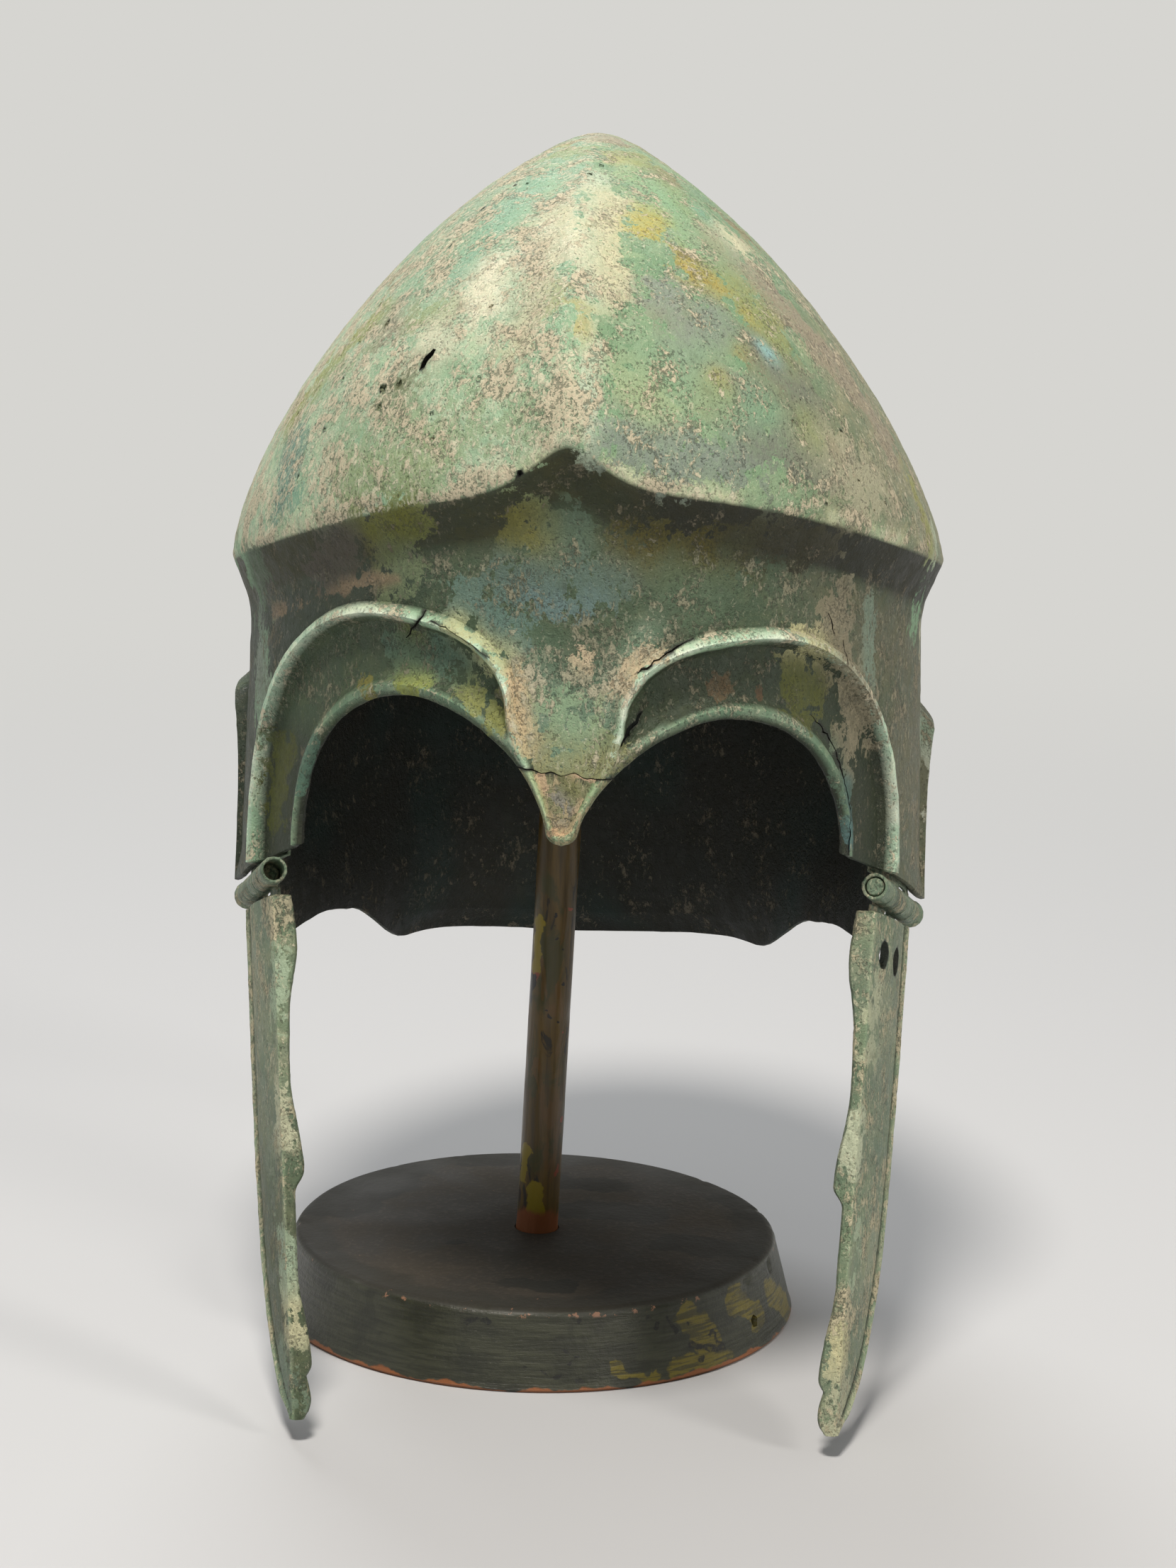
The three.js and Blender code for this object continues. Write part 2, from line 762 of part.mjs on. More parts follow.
function cheekLeaf(hinge) {
  const highest = -(barrelRadius + knuckleGap);
  const offset = () => -cheekThickness / 2 - touchGap;
  const levels = [highest - leafHeight, highest];
  const tabs = [highest - leafTabLap, -pinRadius];
  const solid = hingeLeaf(hinge, 1, offset, levels, tabs, [leafEndMargin, hinge.barrel - leafEndMargin]);
  const rivetLevel = mix(levels[0], levels[1], rivetLevelShare);
  return { solid, seats: rivetSeats(hinge, offset, rivetLevel, touchGap) };
}

// The pin is one bar with a ball at its rear end.
function hingePin(hinge) {
  const length = hinge.barrel + pinBallNeck;
  const inset = hinge.side > 0 ? pinInsetLeft : pinInsetRight;
  const profile = [[0, inset], [pinRadius - pinChamfer, inset], [pinRadius, inset + pinChamfer]];
  const neck = Math.asin(pinRadius / pinBallRadius);
  for (let i = 0; i < pinBallRows; i += 1) {
    const turn = mix(Math.PI - neck, 0, i / pinBallRows);
    profile.push([pinBallRadius * Math.sin(turn), length + pinBallRadius * Math.cos(turn)]);
  }
  profile.push([0, length + pinBallRadius]);
  return turned(profile, hinge.place(0, 0, 0), hinge.place(length, 0, 0), barrelSides);
}

// Cheekpiece: an outer side face, and a narrow front band bent in along a straight arris.

// A cusp of the front band swells slowly and ends in a step.
function cusp(below, place) {
  return cheekCuspWidth * hump((below - place) / (below < place ? cheekCuspRun : cheekCuspStep));
}

// Width of the front band at a depth below its top
function bandWidth(below) {
  const swell = cheekBandSwell * hump((below - cheekSwellDrop) / cheekSwellSpan);
  const plain = mix(cheekBandTop, cheekBandWaist, smooth(below / cheekWaistDrop));
  const low = cheekTipSwell * hump((below - cheekTipSwellDrop) / cheekTipSwellSpan);
  return plain + swell + Math.max(cusp(below, cheekUpperCusp), cusp(below, cheekLowerCusp), low);
}

// The sheet narrows to a round end over the last stretch above its tip.
function tipShare(above) {
  const into = clamp(1 - above / cheekTipRound);
  return Math.sqrt(1 - into * into * (1 - pointShare ** 2));
}

function cheekSkins(hinge) {
  const top = -(barrelRadius + cheekTopGap);
  const rearStart = hinge.place(cheekTopDepth, 0, top);
  const frontStart = hinge.place(cheekFrontGap, 0, top - cheekFrontDrop);
  const flat = (point) => ({ along: point.clone().sub(hinge.front).dot(hinge.back), height: point.z });
  const rear = flat(rearStart);
  const front = flat(frontStart);
  const tip = { along: -cheekForward, height: hinge.front.z - cheekDrop };
  const handle = ([along, down]) => new THREE.Vector2(
    mix(rear.along, tip.along, along),
    mix(rear.height, tip.height, down),
  );
  const curve = new THREE.CubicBezierCurve(
    handle([0, 0]),
    handle(cheekRearUpper),
    handle(cheekRearLower),
    new THREE.Vector2(tip.along + cheekTipWidth, tip.height + cheekTipLift),
  );
  const outer = [];
  const inner = [];
  const set = (along, outwards, height) => {
    const point = hinge.front.clone().addScaledVector(hinge.back, along);
    return point.addScaledVector(hinge.out, outwards).setZ(height);
  };
  const bend = cheekBandAngle * deg;
  const half = cheekThickness / 2;
  const [arrisIn, arrisOut] = arrisShares.map((part) => half * part);
  for (let i = 0; i < cheekRows; i += 1) {
    const share = 1 - (1 - i / (cheekRows - 1)) ** cheekRowPower;
    const arris = {
      along: mix(front.along, tip.along, share),
      height: mix(front.height, tip.height, share),
    };
    const behind = curve.getPoint(share);
    const closing = tipShare(arris.height - tip.height);
    const wide = bandWidth(front.height - arris.height) * closing;
    const face = (t, outwards) => {
      const bulge = cheekBulge * Math.sin(t * Math.PI) * (1 - share ** cheekBulgePower);
      const reach = t * closing;
      const height = mix(arris.height, behind.y, reach);
      return set(mix(arris.along, behind.x, reach), bulge + outwards, height);
    };
    const band = (t, outwards) => set(
      arris.along - wide * t * Math.cos(bend) - outwards * Math.sin(bend),
      -wide * t * Math.sin(bend) + outwards * Math.cos(bend) - half * t,
      arris.height,
    );
    outer.push(band(1, half), band(0.5, half), set(arris.along - arrisIn, arrisOut, arris.height));
    inner.push(band(1, -half), band(0.5, -half), set(arris.along + half, -half, arris.height));
    const depth = Math.hypot(behind.x - arris.along, behind.y - arris.height);
    for (let j = 1; j <= cheekColumns; j += 1) {
      const t = j / cheekColumns;
      const raised = j === cheekColumns ? cheekRimHeight * smooth(depth / cheekRimFade) : 0;
      outer.push(face(t, half + raised));
      inner.push(face(t, -half));
    }
  }
  return { outer, inner, faces: orient(gridFaces(cheekRows, cheekColumns + 3), hinge.side) };
}

function cheekpiece(hinge, holes) {
  const { outer, inner, faces } = cheekSkins(hinge);
  let solid = solidOf(thickSheet(outer, inner, faces));
  for (let i = 0; i < holes; i += 1) {
    const along = cheekHoleSetback + i * cheekHoleSpacing;
    const level = -cheekHoleDrop - barrelRadius;
    const from = hinge.place(along, -cheekHoleSpacing, level);
    const to = hinge.place(along, cheekHoleSpacing, level);
    solid = solid.subtract(solidOf(rod(cheekHoleRadius, from, to, holeSides)));
  }
  return solid;
}

// A rivet's head is inside, and its shank runs through the leaf into the wall.
function rivetProfile(length) {
  const profile = [[0, -rivetHeadHeight]];
  for (let i = 1; i <= 3; i += 1) {
    const turn = (i / 3) * Math.PI / 2;
    profile.push([rivetHeadRadius * Math.sin(turn), -rivetHeadHeight * Math.cos(turn)]);
  }
  profile.push([rivetRadius, 0], [rivetRadius, length], [0, length]);
  return profile;
}

// Where a leaf's two rivets stand: their places along the hinge, and the leaf's face there.
function rivetSeats(hinge, offset, level, gap) {
  return [rivetEndInset, hinge.barrel - rivetEndInset].map((along) => {
    const face = offset(along, level);
    const length = leafThickness + gap + gap + rivetBite;
    const from = hinge.place(along, face - leafThickness - gap, level);
    const to = hinge.place(along, face + length, level);
    return { from, to, length };
  });
}

function rivetOf({ from, to, length }) {
  return turned(rivetProfile(length), from, to, rivetSides);
}

function rivetHole({ from, to }) {
  const inward = from.clone().sub(to).normalize();
  const start = from.clone().addScaledVector(inward, rivetHeadHeight);
  const end = to.clone().addScaledVector(inward, touchGap + touchGap);
  return solidOf(rod(rivetRadius + touchGap, start, end, rivetSides));
}

// Finishes
const bronze = (color) => new THREE.MeshStandardMaterial({ color, roughness: 0.78, metalness: 0.35 });
const skullBronze = bronze(0x8fa88a);
const nasalBronze = bronze(0x9aa184);
const cheekBronze = bronze(0x87998a);
const hingeBronze = bronze(0x6f7b68);
const pinBronze = bronze(0x65705f);
const paintedWood = new THREE.MeshStandardMaterial({ color: 0x4a4a38, roughness: 0.55, metalness: 0 });
const varnishedWood = new THREE.MeshStandardMaterial({ color: 0x6b5a30, roughness: 0.4, metalness: 0 });
const feltFinish = new THREE.MeshStandardMaterial({ color: 0x2e3a2c, roughness: 1, metalness: 0 });

const model = new THREE.Group();

// Stand: disc, leaning rod and its head with felt
const lean = vec(Math.sin(rodLean * deg), 0, Math.cos(rodLean * deg));
const rodFoot = vec(0, 0, discThickness - rodTenon);
const rodEnd = rodFoot.clone().addScaledVector(lean, rodLength);
const headFoot = rodEnd.clone().addScaledVector(lean, -headSocket);
const headTop = headFoot.clone().addScaledVector(lean, headHeight + headSocket);

// How far the crown falls away from its top, at a distance out to the side.
function crownDrop(radius) {
  const reach = radius / rimHalfWidth;
  const lift = (1 - reach ** crownRoundSide) ** (1 / crownRoundSide);
  return (crownHeight - rimHeight(90)) * (1 - lift);
}

function domeProfile(height, foot) {
  const profile = steps(headRadius, 0, domeSteps).map((radius) => [
    radius, height - headDomeSteepness * crownDrop(radius),
  ]);
  return [...foot, ...profile];
}

function discSolid() {
  const profile = [[0, 0], [discBottomRadius, 0]];
  for (let i = 0; i <= 4; i += 1) {
    const turn = (i / 4) * Math.PI / 2;
    const radius = discTopRadius - discEdgeRadius + discEdgeRadius * Math.cos(turn);
    profile.push([radius, discThickness - discEdgeRadius + discEdgeRadius * Math.sin(turn)]);
  }
  profile.push([0, discThickness]);
  const disc = solidOf(turned(profile, vec(0, 0, 0), vec(0, 0, 1), discSides));
  const socketFoot = rodFoot.clone().addScaledVector(lean, -touchGap);
  return disc.subtract(solidOf(rod(rodRadius + touchGap, socketFoot, rodEnd, rodSides)));
}

function headSolid() {
  const height = headHeight + headSocket;
  const profile = domeProfile(height, [[0, 0], [headCollarRadius, 0], [headRadius, headSocket]]);
  const head = solidOf(turned(profile, headFoot, headTop, headSides));
  const end = rodEnd.clone().addScaledVector(lean, touchGap);
  return head.subtract(solidOf(rod(rodRadius + touchGap, rodFoot, end, rodSides)));
}

function feltSolid() {
  const base = headHeight + headSocket + touchGap;
  const inside = domeProfile(base, []);
  const outside = domeProfile(base + feltThickness, []);
  return turned([...inside.reverse(), ...outside], headFoot, headTop, headSides);
}

model.add(meshOf('stand_disc', geometryFrom(discSolid()), paintedWood));
model.add(meshOf('stand_rod', rod(rodRadius, rodFoot, rodEnd, rodSides), varnishedWood));
model.add(meshOf('rod_head', geometryFrom(headSolid()), varnishedWood));
model.add(meshOf('felt_pad', feltSolid(), feltFinish));

// Helmet, hung by its crown on the felt
const feltTop = headTop.clone().addScaledVector(lean, touchGap + feltThickness);
const helmet = new THREE.Group();
const innerCrown = crownHeight - crownThickness;
helmet.position.set(feltTop.x, helmetY, feltTop.z + crownSeatGap - innerCrown);
model.add(helmet);

const parts = bowlParts();
const sides = [
  { name: 'left', side: 1, tilt: cheekLeanLeft, holes: 2 },
  { name: 'right', side: -1, tilt: cheekLeanRight, holes: 0 },
];

// Cuts a leaf's rivet holes in the leaf and in what it is fixed to, and adds the rivets.
function rivet(group, label, leaf, carrier) {
  let { solid } = leaf;
  let wall = carrier;
  leaf.seats.forEach((seat, i) => {
    solid = solid.subtract(rivetHole(seat));
    wall = wall.subtract(rivetHole(seat));
    group.add(meshOf(`rivet_${label}_${i + 1}`, rivetOf(seat), pinBronze));
  });
  return [solid, wall];
}

// A cheekpiece and its leaf swing together about the hinge, and hang at their own angle.
function hungAt(hinge, tilt) {
  const turn = new THREE.Quaternion().setFromAxisAngle(hinge.axis, tilt * deg * hinge.side);
  const group = new THREE.Group();
  group.quaternion.copy(turn);
  group.position.copy(hinge.front).sub(hinge.front.clone().applyQuaternion(turn));
  return group;
}

for (const { name, side, tilt, holes } of sides) {
  const hinge = hingeFrame(side);
  const hanging = hungAt(hinge, tilt);
  const [leaf, bowl] = rivet(helmet, `helmet_${name}`, helmetLeaf(hinge), parts.bowl);
  const plate = cheekpiece(hinge, holes);
  const [cheekSide, cheek] = rivet(hanging, `cheek_${name}`, cheekLeaf(hinge), plate);
  parts.bowl = bowl;
  helmet.add(meshOf(`hinge_pin_${name}`, hingePin(hinge), pinBronze));
  helmet.add(meshOf(`hinge_leaf_${name}`, geometryFrom(leaf), hingeBronze));
  hanging.add(meshOf(`cheek_leaf_${name}`, geometryFrom(cheekSide), hingeBronze));
  hanging.add(meshOf(`cheekpiece_${name}`, geometryFrom(cheek), cheekBronze));
  helmet.add(hanging);
}

helmet.add(meshOf('bowl', geometryFrom(parts.bowl), skullBronze));
helmet.add(meshOf('nasal_tip', geometryFrom(parts.tip), nasalBronze));

export default model;
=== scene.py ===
import math

import bmesh
import bpy
import numpy as np
from mathutils import Matrix, Vector, noise


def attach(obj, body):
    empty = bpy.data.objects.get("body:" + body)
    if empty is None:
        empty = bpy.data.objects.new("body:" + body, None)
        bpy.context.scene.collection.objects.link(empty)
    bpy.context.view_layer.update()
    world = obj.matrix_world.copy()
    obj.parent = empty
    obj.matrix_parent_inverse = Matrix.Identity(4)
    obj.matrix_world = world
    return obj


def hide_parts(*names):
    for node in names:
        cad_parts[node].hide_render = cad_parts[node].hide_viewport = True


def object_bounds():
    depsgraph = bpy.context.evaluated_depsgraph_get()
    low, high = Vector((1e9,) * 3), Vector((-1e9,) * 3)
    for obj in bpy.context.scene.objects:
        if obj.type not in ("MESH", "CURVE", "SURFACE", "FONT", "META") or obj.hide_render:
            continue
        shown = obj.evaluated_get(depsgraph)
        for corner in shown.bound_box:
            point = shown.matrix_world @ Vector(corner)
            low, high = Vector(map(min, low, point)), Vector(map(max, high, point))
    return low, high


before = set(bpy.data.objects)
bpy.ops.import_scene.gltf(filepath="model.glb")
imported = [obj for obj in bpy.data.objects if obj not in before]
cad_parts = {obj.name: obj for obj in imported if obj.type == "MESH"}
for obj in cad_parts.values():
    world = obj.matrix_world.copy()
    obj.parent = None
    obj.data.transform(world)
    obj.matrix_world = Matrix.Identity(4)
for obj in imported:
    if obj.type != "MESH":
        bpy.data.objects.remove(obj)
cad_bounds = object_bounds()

# Foot of the stand
# A turned wooden disc whose side slopes in towards the top. It is painted dark olive over bare
# wood, with brush marks round the side, chips along the top edge and a nail hole in the side.

MM = 0.001
DISC_TOP_RADIUS = 70.0
DISC_BOTTOM_RADIUS = 75.0
DISC_THICKNESS = 22.0
DISC_EDGE_RADIUS = 3.0
DISC_FOOT_ROUND = ((74.4, 0.2), (75, 0.9))
DISC_SIDES, DISC_SIDE_RINGS, DISC_EDGE_RINGS = 260, 18, 8
CHIP_DEPTH, CHIP_DROP = 0.9, 0.7
SIDE_WAVE, TOP_WAVE = 0.25, 0.12
STROKE_CORE = 0.8
ROD_RADIUS = 6.1
ROD_TENON = 14.0
ROD_LENGTH = 306.5
ROD_LEAN = math.radians(1.85)
FIT_GAP = 0.3
NAIL_HOLE_AT = (62.9, -36.2, 8.4)
NAIL_HOLE_RADIUS = 2.0
NAIL_HOLE_END_RADIUS = 0.8
NAIL_HOLE_DEPTH = 3.5


def tint(code):
    """A colour as the eye sees it, such as 8fb59a, as linear red, green, blue and alpha."""
    seen = [int(code[i:i + 2], 16) / 255 for i in (0, 2, 4)]
    return [c / 12.92 if c < 0.04045 else ((c + 0.055) / 1.055) ** 2.4 for c in seen] + [1.0]


def smooth(t):
    """A soft step from 0 to 1 as its value goes from 0 to 1."""
    t = np.clip(t, 0, 1)
    return t * t * (3 - 2 * t)


def hump(t):
    """A bump that is 1 at 0 and falls to 0 at 1 and -1."""
    return np.where(np.abs(t) < 1, np.cos(np.clip(t, -1, 1) * math.pi / 2) ** 2, 0.0)


def mix(a, b, t):
    return a + (b - a) * t


def linked(name, data):
    """A new object in the scene, from its mesh, lamp or camera."""
    piece = bpy.data.objects.new(name, data)
    bpy.context.scene.collection.objects.link(piece)
    return piece


def mesh_piece(name, points, faces):
    """A mesh object at the origin, from points in millimetres."""
    mesh = bpy.data.meshes.new(name)
    mesh.from_pydata((np.asarray(points, float) * MM).tolist(), [], faces)
    mesh.update()
    return linked(name, mesh)


def points_of(piece):
    flat = np.empty(len(piece.data.vertices) * 3)
    piece.data.vertices.foreach_get("co", flat)
    return flat.reshape(-1, 3) / MM


def set_points(piece, points):
    piece.data.vertices.foreach_set("co", (np.asarray(points) * MM).ravel())
    piece.data.update()


def normals_of(piece):
    flat = np.empty(len(piece.data.vertices) * 3)
    piece.data.vertices.foreach_get("normal", flat)
    return flat.reshape(-1, 3)


def roughen(points, size, seed):
    """Smooth noise from -1 to 1 at each point, with lumps of about the given size."""
    shift = Vector((seed * 7.3, seed * 3.1, seed * 5.7))
    return np.array([noise.fractal(Vector(p) / size + shift, 1.0, 2.0, 3) for p in points])


def shade_smooth(piece, angle):
    """Smooth shading, with edges kept sharp where faces meet at more than an angle."""
    piece.data.shade_smooth()
    piece.data.set_sharp_from_angle(angle=math.radians(angle))


def remove(piece):
    data = piece.data
    bpy.data.objects.remove(piece)
    bpy.data.meshes.remove(data)


def settle(piece):
    """Keeps what a piece's modifiers make of its mesh, as a plain mesh."""
    source = piece.data
    graph = bpy.context.evaluated_depsgraph_get()
    piece.data = bpy.data.meshes.new_from_object(piece.evaluated_get(graph))
    piece.modifiers.clear()
    bpy.data.meshes.remove(source)


def cut(piece, cutter, operation="DIFFERENCE"):
    """Cuts a closed piece with a closed cutter, or keeps only what lies inside it."""
    change = piece.modifiers.new("cut", "BOOLEAN")
    change.operation = operation
    change.solver = "MANIFOLD"
    change.object = cutter
    settle(piece)
    remove(cutter)


def coat(piece, material):
    """Gives a piece one material all over."""
    piece.data.materials.clear()
    piece.data.materials.append(material)
    piece.data.polygons.foreach_set("material_index", [0] * len(piece.data.polygons))


def turned(name, profile, sides, foot=(0, 0, 0), axis=(0, 0, 1)):
    """A closed solid turned about an axis, from (radius, height) pairs that start and end on it."""
    turn = Vector((0, 0, 1)).rotation_difference(Vector(axis)).to_matrix()
    rings = [(r, z) for r, z in profile if r > 1e-6]
    points = []
    for radius, height in rings:
        for k in range(sides):
            a = 2 * math.pi * k / sides
            points.append((radius * math.cos(a), radius * math.sin(a), height))
    low, high = len(points), len(points) + 1
    points += [(0, 0, profile[0][1]), (0, 0, profile[-1][1])]
    faces = []
    for i in range(len(rings) - 1):
        for k in range(sides):
            n = (k + 1) % sides
            faces.append((i * sides + k, i * sides + n, (i + 1) * sides + n, (i + 1) * sides + k))
    last = (len(rings) - 1) * sides
    for k in range(sides):
        n = (k + 1) % sides
        faces.append((low, n, k))
        faces.append((high, last + k, last + n))
    placed = [turn @ Vector(p) + Vector(foot) for p in points]
    return mesh_piece(name, placed, faces)


def add_node(tree, kind, sockets=None, **settings):
    made = tree.nodes.new(kind)
    for name, value in settings.items():
        setattr(made, name, value)
    for key, value in (sockets or {}).items():
        if isinstance(value, bpy.types.NodeSocket):
            tree.links.new(value, made.inputs[key])
        else:
            made.inputs[key].default_value = value
    return made


def mixed(tree, share, a, b, kind="MIX"):
    """Colour b over colour a, by a share from 0 to 1."""
    made = add_node(tree, "ShaderNodeMix", {0: share, 6: a, 7: b}, data_type="RGBA", blend_type=kind)
    return made.outputs[2]


def layered(tree, colour, *coats):
    """Coats over a colour, one after another, each a share from 0 to 1 and its colour code."""
    for share, code in coats:
        colour = mixed(tree, share, colour, tint(code))
    return colour


def maths(tree, operation, a, b):
    return add_node(tree, "ShaderNodeMath", {0: a, 1: b}, operation=operation).outputs[0]


def plus(tree, a, b):
    return maths(tree, "ADD", a, b)


def minus(tree, a, b):
    return maths(tree, "SUBTRACT", a, b)


def times(tree, a, b):
    return maths(tree, "MULTIPLY", a, b)


def vector_maths(tree, operation, a, b=None, output="Vector"):
    """Vector arithmetic on one place, on two, or on a place and the number that scales it."""
    sockets = {0: a}
    if b is not None:
        sockets["Scale" if operation == "SCALE" else 1] = b
    return add_node(tree, "ShaderNodeVectorMath", sockets, operation=operation).outputs[output]


def ramp(tree, value, low, high, to_low=0.0, to_high=1.0):
    """Turns a value between low and high into a soft step."""
    made = add_node(tree, "ShaderNodeMapRange", {
        "Value": value, "From Min": low, "From Max": high, "To Min": to_low, "To Max": to_high,
    }, interpolation_type="SMOOTHSTEP")
    return made.outputs["Result"]


def speckle(tree, place, size, detail, roughness, twist=0.0):
    """Noise from 0 to 1 with patches of about the given size in millimetres."""
    made = add_node(tree, "ShaderNodeTexNoise", {
        "Vector": place, "Scale": 1 / (size * MM), "Detail": detail, "Roughness": roughness,
        "Distortion": twist,
    })
    return made.outputs["Fac"]


def object_place(tree, stretch=(1, 1, 1), shift=(0, 0, 0)):
    """Object coordinates, squeezed along an axis where a pattern runs along it."""
    place = add_node(tree, "ShaderNodeTexCoord").outputs["Object"]
    sockets = {"Vector": place, "Scale": stretch, "Location": shift}
    return add_node(tree, "ShaderNodeMapping", sockets).outputs["Vector"]


def object_axes(tree):
    """The x, y and height of a place on a piece."""
    place = add_node(tree, "ShaderNodeTexCoord").outputs["Object"]
    return add_node(tree, "ShaderNodeSeparateXYZ", {0: place}).outputs


def finish(name, tree_maker):
    """A material whose maker gives base colour, roughness and height, from its own node tree."""
    made = bpy.data.materials.new(name)
    made.use_nodes = True
    tree = made.node_tree
    shader = next(n for n in tree.nodes if n.type == "BSDF_PRINCIPLED")
    colour, rough, height, depth = tree_maker(tree)
    bump = add_node(tree, "ShaderNodeBump", {"Height": height, "Distance": depth * MM, "Strength": 1.0})
    tree.links.new(colour, shader.inputs["Base Color"])
    tree.links.new(rough, shader.inputs["Roughness"])
    tree.links.new(bump.outputs["Normal"], shader.inputs["Normal"])
    return made


lean = Vector((math.sin(ROD_LEAN), 0, math.cos(ROD_LEAN)))
rod_foot = Vector((0, 0, DISC_THICKNESS - ROD_TENON))
rod_end = rod_foot + lean * ROD_LENGTH

disc_profile = [(r, 0) for r in (0, 20, 45, 65, 72)] + list(DISC_FOOT_ROUND)
side_top = DISC_THICKNESS - DISC_EDGE_RADIUS
for step in range(1, DISC_SIDE_RINGS + 1):
    share = step / DISC_SIDE_RINGS
    radius = mix(DISC_BOTTOM_RADIUS, DISC_TOP_RADIUS, share)
    disc_profile.append((radius, mix(DISC_FOOT_ROUND[-1][1], side_top, share)))
for step in range(1, DISC_EDGE_RINGS + 1):
    turn = step / DISC_EDGE_RINGS * math.pi / 2
    radius = DISC_TOP_RADIUS - DISC_EDGE_RADIUS + DISC_EDGE_RADIUS * math.cos(turn)
    disc_profile.append((radius, side_top + DISC_EDGE_RADIUS * math.sin(turn)))
disc_profile += [(r, DISC_THICKNESS) for r in (64, 60, 54, 46, 38, 30, 22, 16, 11, 7.5, 0)]
disc = turned("foot_disc", disc_profile, DISC_SIDES)
at = points_of(disc)
radial = np.hypot(at[:, 0], at[:, 1])
outward = np.stack([at[:, 0], at[:, 1], np.zeros(len(at))], 1) / np.maximum(radial, 1e-3)[:, None]
edge = smooth((radial - 62) / 6) * smooth((at[:, 2] - 14) / 5)
side = smooth((radial - 66) / 3) * smooth(at[:, 2] / 2)
chips = np.clip(roughen(at, 5, 11) * 2.2 - 0.9, 0, 1) * edge
waves = roughen(at * [1, 1, 0.15], 26, 12)
at -= outward * (chips * CHIP_DEPTH + side * (SIDE_WAVE - SIDE_WAVE * waves))[:, None]
at[:, 2] -= chips * CHIP_DROP + TOP_WAVE * (radial < 66) * (at[:, 2] > 20) * (1 + roughen(at, 30, 13))
at[:, 2] = np.clip(at[:, 2], 0, DISC_THICKNESS)
set_points(disc, at)
socket = [(0, -1), (ROD_RADIUS + FIT_GAP, -1), (ROD_RADIUS + FIT_GAP, 40), (0, 40)]
cut(disc, turned("socket", socket, 64, rod_foot, lean))
nail_way = Vector((NAIL_HOLE_AT[0], NAIL_HOLE_AT[1], 0)).normalized()
nail_hole = [(0, -NAIL_HOLE_DEPTH), (NAIL_HOLE_END_RADIUS, -NAIL_HOLE_DEPTH)]
nail_hole += [(NAIL_HOLE_RADIUS, 0), (NAIL_HOLE_RADIUS, 6), (0, 6)]
cut(disc, turned("nail_hole", nail_hole, 5, NAIL_HOLE_AT, nail_way))
shade_smooth(disc, 40)


def strokes(tree, size, shake, lines):
    """A mask of listed strokes that waver, each two ends in mm and a radius."""
    swirl = add_node(tree, "ShaderNodeTexNoise", {
        "Vector": object_place(tree), "Scale": 1 / (size * MM), "Detail": 4.0,
    }).outputs["Color"]
    swirl = vector_maths(tree, "SUBTRACT", swirl, (0.5, 0.5, 0.5))
    place = vector_maths(tree, "ADD", object_place(tree), vector_maths(tree, "SCALE", swirl, shake * MM))
    total = 0.0
    for start, end, radius in lines:
        span = (Vector(end) - Vector(start)) * MM
        gap = vector_maths(tree, "SUBTRACT", place, Vector(start) * MM)
        along = vector_maths(tree, "DOT_PRODUCT", gap, span / span.dot(span), "Value")
        back = vector_maths(tree, "SCALE", span, ramp(tree, along, 0, 1))
        apart = vector_maths(tree, "DISTANCE", gap, back, "Value")
        inked = ramp(tree, apart, radius * MM, STROKE_CORE * radius * MM)
        total = maths(tree, "MAXIMUM", total, inked)
    return total


# Blobs of darker paint on the top, one of them a painted shadow at the left back, and yellow and
# black strokes round the side, each from one place to another with a radius
TOP_BLOBS_AND_SHADOW = (
    ((6, 41, 22), (20, 39, 22), 8), ((12, 16, 22), (31, 13, 22), 8.5), ((40, -11, 22), (56, -15, 22), 8.5),
    ((56, 30, 22), (66, 16, 22), 8), ((-24, -15, 22), (-21, -14, 22), 2.4),
    # The first blob on this line, at the left back, is painted shadow, not paint.
    ((-58, 14, 22), (-42, 44, 22), 12), ((-20, 58, 22), (-4, 62, 22), 7), ((-6, -46, 22), (10, -50, 22), 5),
)
YELLOW_STROKES = (
    ((43, -56, 18), (51, -51, 4), 5), ((38, -60, 4), (47, -54, 3), 4), ((58, -42, 17), (63, -33, 9), 4.5),
    ((70, -22, 12), (73, -12, 3), 5.5), ((-14, 72, 10), (-26, 69, 5), 6),
    ((-67, 28, 14), (-65, 34, 4), 5), ((24, -68, 6), (33, -65, 3), 3),
)
BLACK_STROKES = (
    ((43, -57, 17.5), (44.5, -56, 14), 0.7), ((44.5, -56, 14), (47.5, -53.5, 17.5), 0.6),
    ((47.5, -53.5, 17.5), (49, -52.8, 14.5), 0.6), ((38, -60, 17), (40.5, -58.8, 13.5), 1.2),
    ((33, -63, 18), (35, -62, 15), 1.0), ((45, -56, 7.5), (53, -50, 6.5), 1.9),
    ((43, -58, 5), (47, -55.4, 3.6), 1.5), ((50, -52, 11), (52, -50.5, 7), 0.8),
    ((7, -72, 13.5), (13, -71, 9.5), 0.7), ((13, -71, 9.5), (11, -72, 6.5), 0.7),
    ((0, -73.5, 7), (8, -73.5, 4.5), 0.7), ((8, -73.5, 4.5), (20, -71.5, 2.6), 0.9),
    ((-17, -69, 18), (-12, -70, 18.5), 1.4), ((8, -70.6, 20), (14, -69.6, 19.4), 1.3),
    ((62, -40, 14), (63, -39, 11), 1.2), ((34, 65, 14), (40, 62, 9), 1.2),
    ((-70, -20, 15), (-71, -14, 11), 1.0),
)


